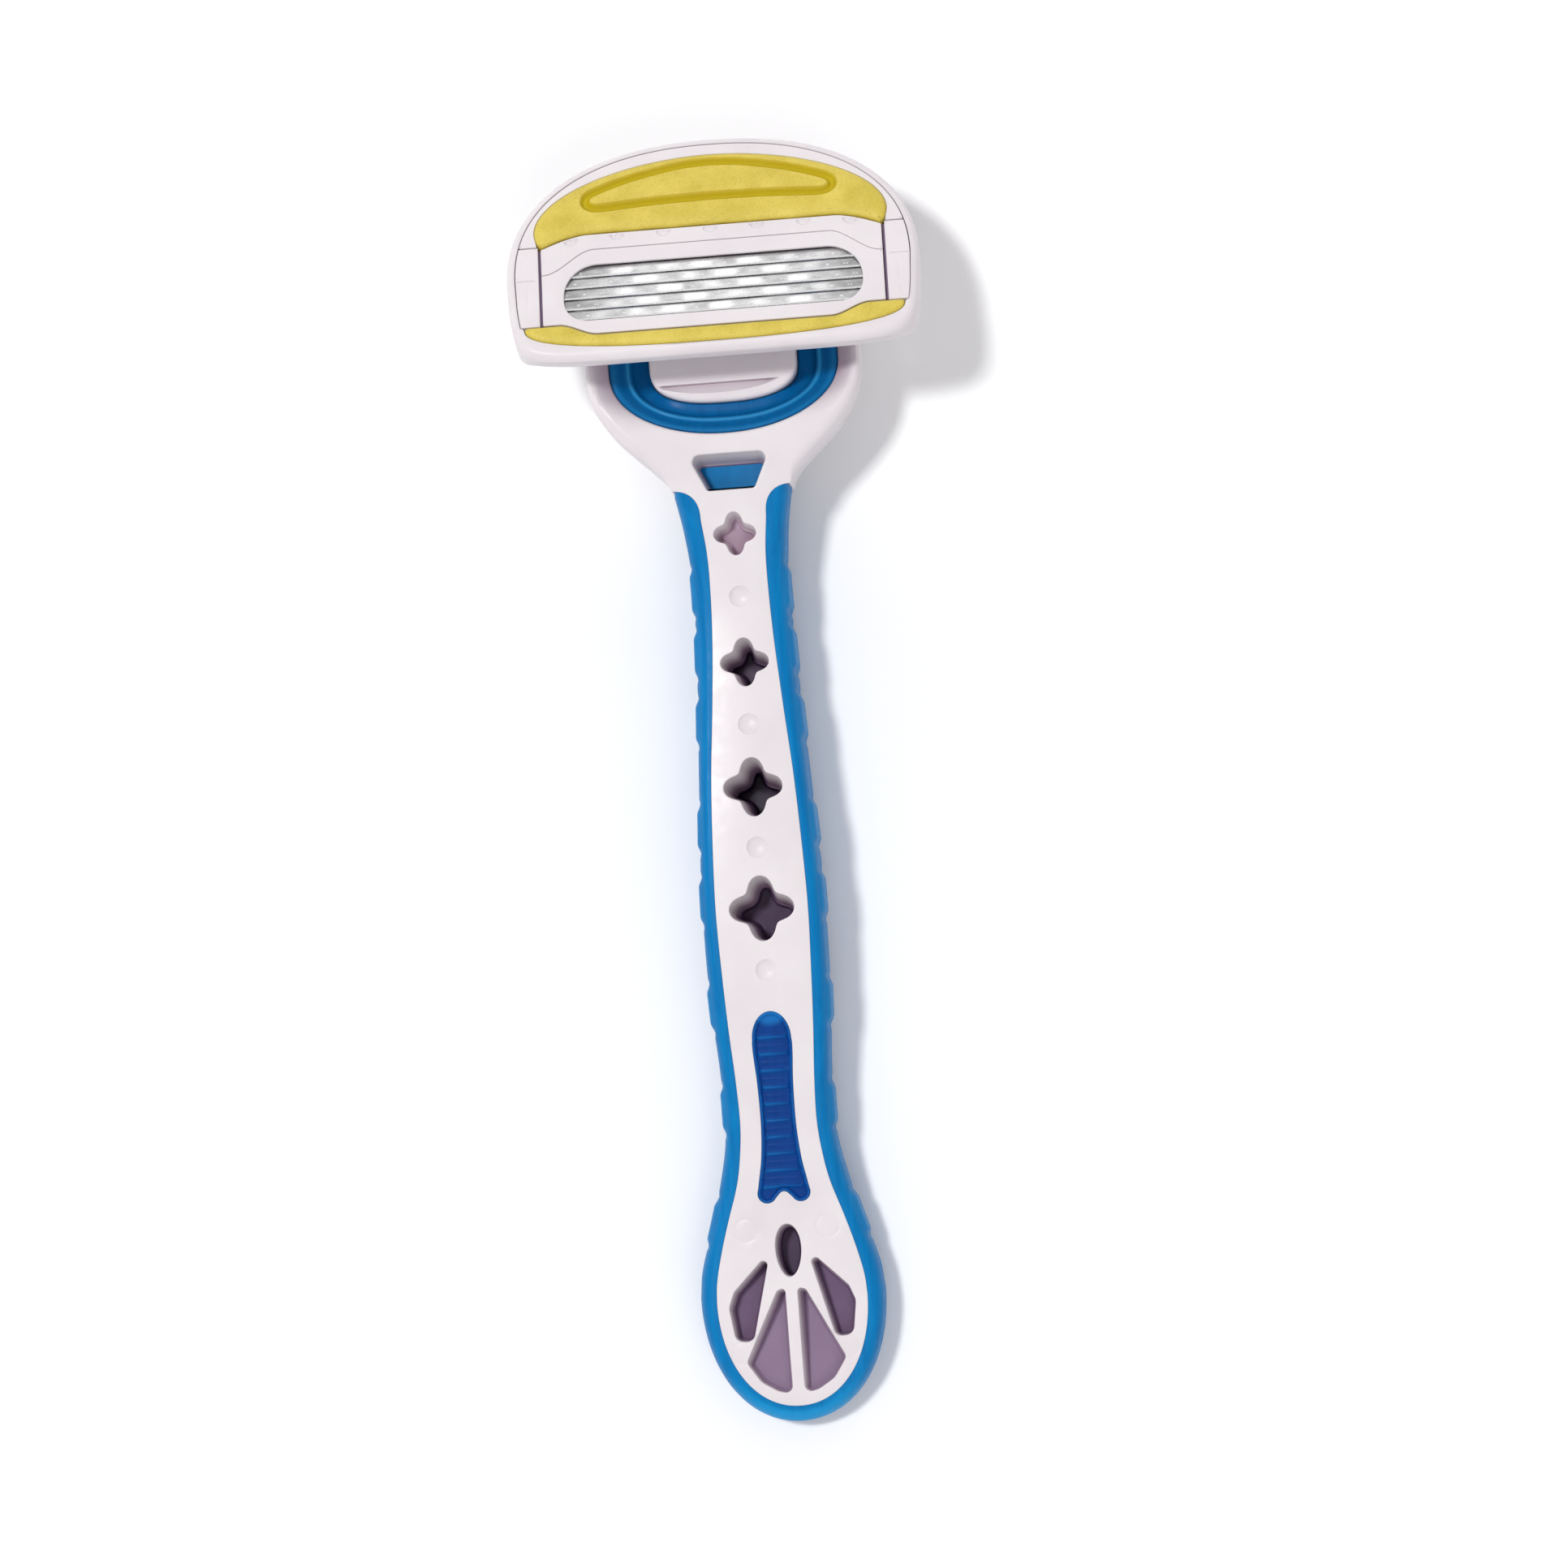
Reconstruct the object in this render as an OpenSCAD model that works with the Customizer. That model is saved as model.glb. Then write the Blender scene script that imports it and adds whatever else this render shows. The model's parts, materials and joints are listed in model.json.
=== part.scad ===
// Cartridge razor with a soap-bar head, lying on its back with the blades up.
// The handle runs along Y: the tail is at -Y, the head at +Y, and +Z points out of the blades.

/* [Handle] */
// Height of the yoke's back above the surface the razor lies on
neck_lift = 5.5; // [5.2:0.1:6]
// Widest place of the paddle-shaped tail
tail_w = 21.6; // [20:0.1:23]
// Thickness of the soft skin on the handle's back
skin_t = 1.8; // [1.4:0.1:2.2]
// Number of star pockets, with a dimple below each
star_count = 4; // [2:1:4]
// Tip radius of the smallest star pocket
star_r = 2.5; // [2.2:0.1:2.8]

/* [Head] */
// Width of the head across the soap bars
head_w = 48.1; // [46:0.1:50]
// Depth of the head's outer shell behind its face
shell_depth = 5.2; // [5:0.1:6]
// Lean of the face away from the handle, in degrees
head_tilt = 20; // [15:1:24]
// Height of the soap above the face
soap_proud = 0.7; // [0.3:0.1:1.2]

/* [Blades] */
// Number of blades
blade_count = 5; // [3:1:5]
// Distance from one cutting edge to the next
blade_pitch = 1.4; // [1.2:0.05:1.4]
// Length of each blade
blade_l = 36.6; // [35:0.1:36.8]

/* [Pivot and fits] */
// Radius of the steel pivot pin
pin_r = 0.95; // [0.8:0.05:1.1]
// Clearance of a turning or sliding fit
fit_gap = 0.05; // [0.02:0.01:0.1]
// Gap around the rocking blade unit
unit_gap = 0.3; // [0.2:0.05:0.4]

/* [Hidden] */
$fn = 32;

WHITE = "#ece6ea";
BLUE = "#0b74b8";
SOAP = "#d2c24c";
STEEL = "#c8cbcf";

// ---- Places along the handle, measured from the tail tip ----
tail_mid = 15;                      // where the tail is widest
yoke_s = 124.1;                     // centre of the yoke's bowl
arm_end = 131;                      // end of the yoke's arms
strip_end = 109.6;                  // upper end of the soft side strips
skin_end = 105.3;                   // upper end of the soft skin on the back
pivot_s = 133.6;                    // the head's pivot axis
pivot_z = 7.4;                      // its height above the yoke's back

// The face centre lies above the pivot, measured in the tilted head
pivot_v = -1;
pivot_w = -shell_depth - 2;
face_s = pivot_s - pivot_v * cos(head_tilt) - pivot_w * sin(head_tilt);
face_z = pivot_z + pivot_v * sin(head_tilt) - pivot_w * cos(head_tilt);

// ---- Head outline, in the plane of the face ----
head_a = head_w / 2;
head_mid = -2.66;                   // where the head is widest, and the blade unit's rocking axis
dome_b = 16.7;                      // from there to the top of the head
chin_b = 10.7;                      // from there to the bottom of the head
head_top = face_s + (head_mid + dome_b) * cos(head_tilt);
y_shift = -head_top / 2;            // puts the origin halfway along the razor

rim_t = 1.05;                       // wall of the shell around the face
floor_t = 1.2;                      // wall of the shell behind the face
inner_w = -shell_depth + floor_t;   // the shell's inner floor

// ---- Blade unit ----
unit_x = 19.85;                     // half its width
unit_depth = 3.2;
window_x = 17.35;
window_top = -1.05;
window_low = -8.35;
lip_t = 0.35;                       // plastic lip around the blade window
trunnion_r = 0.55;
trunnion_w = -1.8;

// ---- Pivot mechanism ----
lobe_drop = 2.2;                    // cam lobe below the pivot axis
lobe_r = 1.6;                       // also the radius of its hub, so its flank stays flat
plunger_r = 1.2;
plunger_z = pivot_z - lobe_drop;

// ---- Curves ----

// Slope at point i of a list of [station, value]
function slope(p, i) =
    let (a = max(i - 1, 0), b = min(i + 1, len(p) - 1)) (p[b][1] - p[a][1]) / (p[b][0] - p[a][0]);
function span(p, s, i = 0) = i >= len(p) - 2 || s < p[i + 1][0] ? i : span(p, s, i + 1);
// Smooth curve through the points, read at station s
function at(p, s) =
    let (i = span(p, s), h = p[i + 1][0] - p[i][0], t = (s - p[i][0]) / h)
    (1 + 2 * t) * pow(1 - t, 2) * p[i][1] + t * pow(1 - t, 2) * h * slope(p, i)
    + t * t * (3 - 2 * t) * p[i + 1][1] + t * t * (t - 1) * h * slope(p, i + 1);
function smooth(t) = let (u = min(max(t, 0), 1)) u * u * (3 - 2 * u);
// Quarter of a superellipse, from [0, c - b] round to [a, c]
function quarter(a, b, c, n, steps = 14) =
    [for (i = [0:steps]) let (t = 90 * i / steps) [a * pow(sin(t), 2 / n), c - b * pow(cos(t), 2 / n)]];
function flip(p) = [for (i = [len(p) - 1:-1:0]) [-p[i][0], p[i][1]]];

// Half width of the whole handle ahead of the tail
outer_w = [[15, tail_w / 2], [18, 10.45], [21, 9.6], [25, 8.4], [29, 7.35], [33, 6.55], [37, 6.4],
    [42, 6.5], [48, 6.9], [56, 7.1], [64, 7], [72, 6.6], [80, 6.2], [88, 5.8], [95, 5.6], [100, 5.6],
    [104, 5.95], [107, 6.4], [110, 7.2], [112, 8.9], [114, 11], [116, 13], [118, 14.5], [120, 15.5],
    [122, 16], [124, 16.2], [127, 16.15], [129, 15.8]];
// Half width of the hard front panel between the soft strips
panel_mid = 14.6;
panel_w = [[14.6, 8.85], [17, 8.7], [20, 8], [24, 6.8], [28, 5.5], [31, 4.9], [35, 4.5], [40, 4.6],
    [46, 4.95], [52, 5.2], [60, 5.4], [68, 5.2], [76, 4.8], [84, 4.15], [92, 3.6], [98, 3.4],
    [102, 3.45], [105, 3.7], [107, 4.05], [108.4, 4.7]];
// Height of the handle's front along its middle
front_pts = [[0, 4.6], [2, 5.8], [6, 6.8], [12, 7.4], [20, 7.9], [30, 9], [42, 10.9], [54, 12.4],
    [66, 13], [76, 12.8], [86, 12], [94, 11.8], [100, 12.4], [106, 13.6], [112, 14.6], [120, 14.7],
    [126, 14.3], [131, 12.9]];
// The back is flat under the tail and under the belly, arches between them, and
// curves up at the neck to carry the yoke clear of the surface
rest_tail = [7, 18];
rest_belly = [82, 94];
neck_top = 109.5;
yoke_flat = 123;                    // the yoke's back is flat up to here
arch_h = 1.8;
function arch(s) = arch_h * pow(sin(180 * (s - rest_tail[1]) / (rest_belly[0] - rest_tail[1])), 2);
function front_z(s) = at(front_pts, s);
function back_z(s) =
    s < rest_tail[1] ? 2.8 * (1 - sqrt(1 - pow(1 - min(s / rest_tail[0], 1), 2.4)))
    : s < rest_belly[0] ? arch(s)
    : s < yoke_flat ? neck_lift * smooth((s - rest_belly[1]) / (neck_top - rest_belly[1]))
    : neck_lift + 2.6 * pow((s - yoke_flat) / (arm_end - yoke_flat), 2);

outer_half = concat(
    quarter(tail_w / 2, tail_mid, tail_mid, 2.1),
    [for (s = [17:2:129]) [at(outer_w, s), s]],
    [[15.2, 130.3], [14.4, arm_end]]);
grip_half = [for (p = outer_half) if (p[1] < strip_end) p];
core_half = concat(
    quarter(panel_w[0][1], panel_mid - 1.9, panel_mid, 2.1),
    [for (s = [17:2:107]) [at(panel_w, s), s]],
    [[4.6, 108.3], [5.5, 109.1], [at(outer_w, strip_end), strip_end]],
    [for (p = outer_half) if (p[1] > strip_end) p]);

// A plan outline given by its +X half, standing from z0 to z1
module standing(half, z0, z1) {
    translate([0, 0, z0]) linear_extrude(z1 - z0) polygon(concat(half, flip(half)));
}
// A side profile of [station, z] points, spread across the handle
module across(profile, half_w = 20) {
    translate([-half_w, 0, 0]) rotate([90, 0, 90]) linear_extrude(2 * half_w) polygon(profile);
}
// Everything is drawn from the tail tip, then set about the razor's middle
module placed() translate([0, y_shift, 0]) children();
// Everything at the yoke is drawn with the yoke's back at zero, then lifted
module raised() translate([0, 0, neck_lift]) children();

// ---- Handle ----

tail_round = [0, 0.3, 1, 2, 3.5, 5];
front_edge = [for (s = [each tail_round, for (i = [8:3:128]) i, arm_end]) [s, front_z(s)]];
back_stations = [each tail_round, each rest_tail, for (s = [21:3:81]) s, each rest_belly,
    for (s = [95.5:1.4:109.5]) s, neck_top, yoke_flat, 126, 128.5, arm_end];
back_edge = [for (i = [len(back_stations) - 1:-1:0]) [back_stations[i], back_z(back_stations[i])]];
core_back = concat(
    [for (p = back_edge) if (p[0] > skin_end) p],
    [[skin_end, back_z(skin_end)], [skin_end, back_z(skin_end) + skin_t]],
    [for (p = back_edge) if (p[0] < skin_end) [p[0], p[1] + skin_t]]);

module core_blank() {
    intersection() {
        standing(core_half, -1, 20);
        across(concat(front_edge, core_back));
    }
}

star_step = 14.7;
function star_s(i) = 104 - star_step * i;
function star_tip(i) = star_r + 0.43 * i;
star_depth = [3, 7, 8.4, 7];
module star(r) polygon([for (a = [0:9:351]) r * (0.795 + 0.205 * cos(4 * a)) * [cos(a), sin(a)]]);

module star_pockets() {
    for (i = [0:star_count - 1]) {
        top = front_z(star_s(i));
        translate([0, star_s(i), top - star_depth[i]]) linear_extrude(star_depth[i] + 3) star(star_tip(i));
    }
}

dimple_r = 1.15;
ball_r = 2.2;
module dimples() {
    for (i = [0:star_count - 1]) {
        s = star_s(i) - star_step / 2;
        translate([0, s, front_z(s) + sqrt(ball_r * ball_r - dimple_r * dimple_r)]) sphere(ball_r);
    }
}

// The fan of drip-shaped pockets in the tail
fan_floor = 4.6;
module fan_pockets() {
    translate([0, 0, fan_floor]) linear_extrude(8) {
        translate([0, 20.2]) scale([1.5, 3.1]) circle(1);
        for (side = [-1, 1]) scale([side, 1]) {
            hull() {
                translate([2.6, 18.7]) circle(0.45);
                translate([6.25, 14.4]) circle(1.05);
                translate([6.1, 11.15]) circle(0.95);
            }
            hull() {
                translate([1.25, 14.4]) circle(0.5);
                translate([4.75, 7.1]) circle(0.6);
                translate([3.3, 5.5]) circle(0.65);
                translate([1.45, 4.45]) circle(0.7);
            }
        }
    }
}

// Ribbed thumb pad, let into the panel
pad_depth = 2.4;
pad_sink = 0.7;
pad_low = 27;
pad_high = 48.2;
pad_w = [[27, 3.1], [28.5, 2.8], [31, 2.35], [35, 2.05], [40, 2.1], [44, 2.33], [46, 2.1], [47.4, 1.25],
    [48.2, 0]];
rib_step = 1.95;
module pad_outline() {
    half = [for (s = [pad_low:1:pad_high]) [at(pad_w, s), s]];
    difference() {
        union() {
            polygon(concat(half, [[0, pad_high]], flip(half)));
            for (side = [-1, 1]) translate([side * 2.05, 26.95]) circle(1.1);
        }
        translate([0, 26.1]) circle(1);
    }
}
module pad_bed() {
    profile = [for (s = [24:2:50]) [s, front_z(s) - pad_depth]];
    intersection() {
        linear_extrude(20) pad_outline();
        across(concat(profile, [[50, 20], [24, 20]]));
    }
}
module thumb_pad() {
    profile = [for (s = [24:2:50]) [s, front_z(s) - pad_sink]];
    color(BLUE) {
        intersection() {
            pad_bed();
            across(concat([[24, 0]], [[50, 0]], [for (i = [len(profile) - 1:-1:0]) profile[i]]));
        }
        for (i = [0:9]) {
            s = 27.8 + rib_step * i;
            translate([0, s, front_z(s) - pad_sink - 0.1])
                rotate([0, 90, 0]) cylinder(r = 0.3, h = 2 * at(pad_w, s) - 1.4, center = true);
        }
    }
}

// Trapezoid window at the neck, with its soft blue floor
window_floor = 5.2;
neck_low = 3.1;
module neck_shape() {
    offset(r = 0.5) polygon([[-2.2, 109.7], [2.2, 109.7], [4, 112.9], [-4, 112.9]]);
}
module neck_insert() {
    color(BLUE) raised() translate([0, 0, neck_low]) linear_extrude(window_floor - neck_low) neck_shape();
}

// The yoke's bowl, open towards the head, and the tongue-shaped seat inside its liner
bowl_floor = 3.2;
bowl = [13.5, 8.3];
tongue = [8.7, 4.5];
liner_end = 128;
module open_bowl(radii, end_s, n) {
    half = quarter(radii[0], radii[1], yoke_s, n);
    polygon(concat(half, [[radii[0], end_s]], [[-radii[0], end_s]], flip(half)));
}
module yoke_liner() {
    liner_h = 4;
    color(BLUE) raised() difference() {
        translate([0, 0, bowl_floor]) linear_extrude(liner_h) open_bowl(bowl, liner_end, 2.1);
        translate([0, 0, bowl_floor - 1]) linear_extrude(9) open_bowl(tongue, 150, 2.6);
        translate([-stem_x - 0.2, 110, bowl_floor - 1]) cube([2 * stem_x + 0.4, 12, 2.4]);
    }
}

// Release button in the back of the yoke
button_travel = 2.5;
slot = [5, 110.4, 120.4, 1.4];      // recess for the thumb piece: half width, start, end, depth
stem_x = 2;
spring_x = 3.4;
spring_r = 0.62;
groove = [111.1, 116.8];            // the two springs' grooves
spring_z = 2.15;
module button_cuts() {
    translate([-slot[0], slot[1], -1]) cube([2 * slot[0], slot[2] - slot[1], slot[3] + 1]);
    translate([-stem_x - 0.2, 113, -1]) cube([2 * stem_x + 0.4, 8, bowl_floor + 2.4]);
    for (side = [-1, 1])
        translate([side * spring_x - 0.8, groove[0], 0]) cube([1.6, groove[1] - groove[0], 2.95]);
}
module release_button() {
    color(BLUE) raised() {
        difference() {
            translate([-4.6, 110.8, 0.35]) cube([9.2, 6.9, 0.95]);
            for (i = [0:4]) translate([-3.6, 111.6 + 1.2 * i, 0.2]) cube([7.2, 0.5, 0.45]);
        }
        translate([-stem_x, 113.4, 1.2]) cube([2 * stem_x, 3.9, 2.9]);
        for (side = [-1, 1]) translate([side * spring_x - 0.65, 111.4, 1.2]) cube([1.3, 1.1, 1.6]);
    }
}
// A compression spring along Y: closed rings joined by turns, drawn as one swept wire
module coil(r, wire, turns, length, sides = 6, steps = 14) {
    n = turns * steps;
    points = [for (i = [0:n]) for (j = [0:sides - 1])
        let (a = 360 * i / steps, b = 360 * j / sides, q = r + wire * cos(b))
        [q * cos(a), wire + (length - 2 * wire) * i / n + wire * sin(b), q * sin(a)]];
    faces = concat(
        [for (i = [0:n - 1]) for (j = [0:sides - 1])
            let (k = (j + 1) % sides)
            [i * sides + j, i * sides + k, (i + 1) * sides + k, (i + 1) * sides + j]],
        [[for (j = [sides - 1:-1:0]) j]],
        [[for (j = [0:sides - 1]) n * sides + j]]);
    polyhedron(points, faces, convexity = 8);
}
module button_springs() {
    color(STEEL) raised() for (side = [-1, 1])
        translate([side * spring_x, 112.6, spring_z]) coil(spring_r - 0.12, 0.1, 5, 4.1);
}

module handle_core() {
    color(WHITE) difference() {
        core_blank();
        star_pockets();
        dimples();
        fan_pockets();
        pad_bed();
        raised() {
            translate([0, 0, neck_low]) linear_extrude(12) neck_shape();
            translate([0, 0, bowl_floor]) linear_extrude(12) open_bowl(bowl, 150, 2.1);
            translate([-bowl[0], 126.2, -1]) cube([2 * bowl[0], 20, 20]);
            button_cuts();
        }
    }
}

// Soft skin over the handle's back and sides, with grip ridges across the back
ridge_s = [24, 37, 49, 61, 70, 83, 96];
ridge_out = 0.35;
module ridge(s) {
    half = at(outer_w, s) + ridge_out;
    translate([-half, s - 2, back_z(s) - 0.45]) cube([2 * half, 4, 4.6]);
}
module grip_overmold() {
    color(BLUE) difference() {
        union() {
            intersection() {
                standing(grip_half, -1, 20);
                across(concat(front_edge, back_edge));
            }
            for (s = [for (r = ridge_s) if (back_z(r) > 0.5) r]) ridge(s);
        }
        core_blank();
    }
}

// ---- Cartridge dock: the part of the cartridge that plugs into the yoke ----

dock_back = 119.9;
dock_front = 130.4;
dock_top = 8.3;
arm_x = [5.6, 8.2];
bore_back = 122;
spring_len = 4;
module dock_block() {
    plug = [tongue[0] - 0.15, yoke_s - dock_back];
    color(WHITE) raised() difference() {
        union() {
            translate([0, 0, bowl_floor + 0.15]) linear_extrude(dock_top - bowl_floor - 0.15)
                open_bowl(plug, dock_front, 2.6);
            for (side = [-1, 1]) translate([side > 0 ? arm_x[0] : -arm_x[1], 0, 0])
                rotate([90, 0, 90]) linear_extrude(arm_x[1] - arm_x[0]) {
                    translate([dock_front - 1, 4.4]) square([pivot_s - dock_front + 1, 3]);
                    translate([pivot_s, pivot_z]) circle(1.7);
                }
        }
        translate([-20, pivot_s, pivot_z]) rotate([0, 90, 0]) cylinder(r = pin_r, h = 40);
        translate([0, bore_back, plunger_z]) rotate([-90, 0, 0])
            cylinder(r = plunger_r + fit_gap, h = 20);
        // step in the front of the tongue, below the head's lower edge
        translate([-6.6, 121.2, dock_top - 0.7]) cube([13.2, 1.2, 2]);
    }
}
module pivot_pin() {
    color(STEEL) raised() translate([-arm_x[1], pivot_s, pivot_z]) rotate([0, 90, 0])
        cylinder(r = pin_r, h = 2 * arm_x[1]);
}
nose_gap = 0.1;
module return_plunger() {
    color(WHITE) raised() translate([0, bore_back + spring_len, plunger_z]) rotate([-90, 0, 0])
        cylinder(r = plunger_r, h = pivot_s - lobe_r - nose_gap - bore_back - spring_len);
}
module plunger_spring() {
    color(STEEL) raised() translate([0, bore_back + 0.05, plunger_z]) coil(0.9, 0.14, 5, spring_len - 0.1);
}

// ---- Head ----

module in_head() raised() translate([0, face_s, face_z]) rotate([-head_tilt, 0, 0]) children();

// Outline of the head, moved in by inset
function head_half(inset) = let (
    dome = quarter(head_a - inset, dome_b - inset, 0, 2.25, 24),
    chin = quarter(head_a - inset, chin_b - inset, 0, 5, 24))
    concat([for (p = chin) [p[0], head_mid + p[1]]],
        [for (i = [len(dome) - 2:-1:0]) [dome[i][0], head_mid - dome[i][1]]]);
// Lower edge of the upper soap bar, and upper edge of the lower one
function brow(x) = 3 - (abs(x) > 14.5 ? 1.5 * pow((abs(x) - 14.5) / 5.2, 1.5) : 0);
function sill(x) = -10.3 + 1.45 * smooth((abs(x) - 13.5) / 4.5);

module plate(points, w0, w1) translate([0, 0, w0]) linear_extrude(w1 - w0) polygon(points);
module head_plate(inset, w0, w1) let (half = head_half(inset)) plate(concat(half, flip(half)), w0, w1);

// Evenly spaced places from -half_x to half_x
function spread(half_x, steps = 50) = [for (i = [0:steps]) half_x * (2 * i / steps - 1)];

// Space between the two soap bars, grown or shrunk by gap
function bay(half_x, gap) = concat(
    [for (x = spread(half_x)) [x, brow(x) + gap]],
    [for (x = spread(half_x)) [-x, sill(-x) - gap]]);

block_v = [sill(20) + 0.05, brow(19.7) + 0.1];
soap_floor = -3;

module ear_profile(r) {
    hull() {
        translate([pivot_v, pivot_w]) circle(r);
        translate([pivot_v - 3, -shell_depth]) square([6, 0.2]);
    }
}
// A profile in the head's [v, w] plane, standing along X from x0 to x1
module lengthwise(x0, x1) translate([x0, 0, 0]) rotate([90, 0, 90]) linear_extrude(x1 - x0) children();

lobe = [pivot_v + lobe_drop * sin(head_tilt), pivot_w - lobe_drop * cos(head_tilt)];
ear_x = [2.8, 5.4];
lobe_x = 1.5;
module head_shell() {
    color(WHITE) in_head() difference() {
        union() {
            head_plate(0, -shell_depth + 0.6, 0);
            head_plate(0.7, -shell_depth, -shell_depth + 0.6);
            lengthwise(ear_x[0], ear_x[1]) ear_profile(2);
            lengthwise(-ear_x[1], -ear_x[0]) ear_profile(2);
            lengthwise(-lobe_x, lobe_x) {
                ear_profile(1.9);
                hull() {
                    translate([pivot_v, pivot_w]) circle(lobe_r);
                    translate(lobe) circle(lobe_r);
                }
            }
        }
        head_plate(rim_t, inner_w, 2);
        // rinse openings behind the blades, with ribs left at the hinge ears
        for (x = [[-16.5, -5.6], [-2.6, -1.7], [1.7, 2.6], [5.6, 16.5]])
            translate([x[0], -8.4, -shell_depth - 1]) cube([x[1] - x[0], 7.2, floor_t + 2]);
        translate([-20, pivot_v, pivot_w]) rotate([0, 90, 0]) cylinder(r = pin_r + fit_gap, h = 40);
    }
}

module soap_tray() {
    color(WHITE) in_head() difference() {
        head_plate(rim_t, inner_w, -0.1);
        plate(bay(unit_x + unit_gap, 0), inner_w - 1, 1);
        plate(upper_soap_points(0), soap_floor, 1);
        plate(lower_soap_points(0), soap_floor, 1);
        for (side = [-1, 1]) translate([side > 0 ? 20 : -25, block_v[0], -unit_depth])
            cube([5, block_v[1] - block_v[0], 4]);
    }
}

// Soap outlines, moved in by inset
function upper_soap_points(inset) = concat(
    [for (a = [4:4:176]) [(20.6 - inset) * sign(cos(a)) * pow(abs(cos(a)), 2 / 1.9),
        3.4 + (8.8 - inset) * pow(sin(a), 2 / 1.9)]],
    [[-20.5 + inset, 2.7 + inset]],
    [for (x = spread(19.7 - inset, 40)) [x, brow(x) + inset]],
    [[20.5 - inset, 2.7 + inset]]);
function lower_soap_points(inset) = concat(
    [for (x = spread(22 - inset)) [x, sill(x) - inset]],
    [for (a = [0:-6:-180]) [(22.1 - inset) * sign(cos(a)) * pow(abs(cos(a)), 2 / 2.3),
        -9 - (3.2 - inset) * pow(abs(sin(a)), 2 / 2.3)]]);

// Closed band of the groove pressed into the upper soap bar
groove_r = 0.45;
groove_depth = 0.5;
module groove_line(d) {
    offset(r = d) polygon(concat(
        [for (x = [-12.5:2.5:12.5]) [x, 6.45 - 0.55 * pow(x / 12.5, 2)]],
        [for (a = [12:12:168]) [14.2 * cos(a), 6.6 + 4.5 * pow(sin(a), 0.95)]]));
}
module upper_soap_bar() {
    color(SOAP) in_head() difference() {
        union() {
            plate(upper_soap_points(0), soap_floor, soap_proud - 0.3);
            plate(upper_soap_points(0.35), soap_proud - 0.4, soap_proud);
        }
        translate([0, 0, soap_proud - groove_depth]) linear_extrude(2) difference() {
            groove_line(groove_r);
            groove_line(-groove_r);
        }
    }
}
module lower_soap_bar() {
    color(SOAP) in_head() plate(lower_soap_points(0), soap_floor, soap_proud - 0.3);
}

// Blocks at the two ends that carry the blade unit's trunnions
module side_block(side) {
    color(WHITE) in_head() difference() {
        intersection() {
            head_plate(rim_t, -unit_depth, -0.15);
            translate([side > 0 ? unit_x + unit_gap : -25, block_v[0] + 0.02, -5])
                cube([25 - unit_x - unit_gap, block_v[1] - block_v[0] - 0.04, 10]);
        }
        translate([side * 19, head_mid, trunnion_w]) rotate([0, side * 90, 0])
            cylinder(r = trunnion_r + fit_gap, h = 2.6);
        translate([side > 0 ? 20 : -30, head_mid - 0.06, -0.4]) cube([10, 0.12, 1]);
    }
}

// Flat springs under the blade unit's ends, bowed like a leaf
module rock_spring(side) {
    leaf_w = 2.2;
    leaf_t = 0.12;
    reach = 4.1;
    rise = -unit_depth - inner_w - 2 * leaf_t;
    top = [for (v = spread(reach, 20)) [head_mid + v, inner_w + leaf_t + rise * (1 - pow(v / reach, 2))]];
    low = [for (i = [len(top) - 1:-1:0]) [top[i][0], top[i][1] - leaf_t]];
    color(STEEL) in_head() lengthwise(side * 18.2 - leaf_w / 2, side * 18.2 + leaf_w / 2)
        polygon(concat(top, low));
}

// ---- Blade unit ----

// Line where the cap meets the housing
function cap_line(x) = 0.85 - 2.95 * smooth((abs(x) - 13.7) / 5.9);
module bay_blank(w0, w1) plate(bay(unit_x, -0.15), w0, w1);
module blade_bay() {
    bay_top = -0.5;
    bay_low = -8.9;
    bay_half = blade_l / 2 + 0.15;
    translate([-bay_half, bay_low, -unit_depth - 1])
        cube([2 * bay_half, bay_top - bay_low, unit_depth + 1 - lip_t]);
}
module blade_window() {
    mid = (window_top + window_low) / 2;
    translate([0, mid, -1]) linear_extrude(3)
        offset(r = 2.9) square([2 * window_x - 5.8, window_top - window_low - 5.8], center = true);
}
module above_cap_line(extra) {
    plate(concat([for (x = [-25:1:25]) [x, cap_line(x) + extra]], [[25, 20], [-25, 20]]), -5, 5);
}
module blade_housing() {
    color(WHITE) in_head() {
        difference() {
            bay_blank(-unit_depth, 0);
            blade_bay();
            blade_window();
            above_cap_line(0);
        }
        for (side = [-1, 1]) translate([side * (unit_x - 0.4), head_mid, trunnion_w])
            rotate([0, side * 90, 0]) cylinder(r = trunnion_r, h = 1.8);
    }
}
module blade_cap() {
    color(WHITE) in_head() difference() {
        intersection() {
            bay_blank(-unit_depth, 0.1);
            above_cap_line(0.03);
        }
        blade_bay();
    }
}

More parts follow.
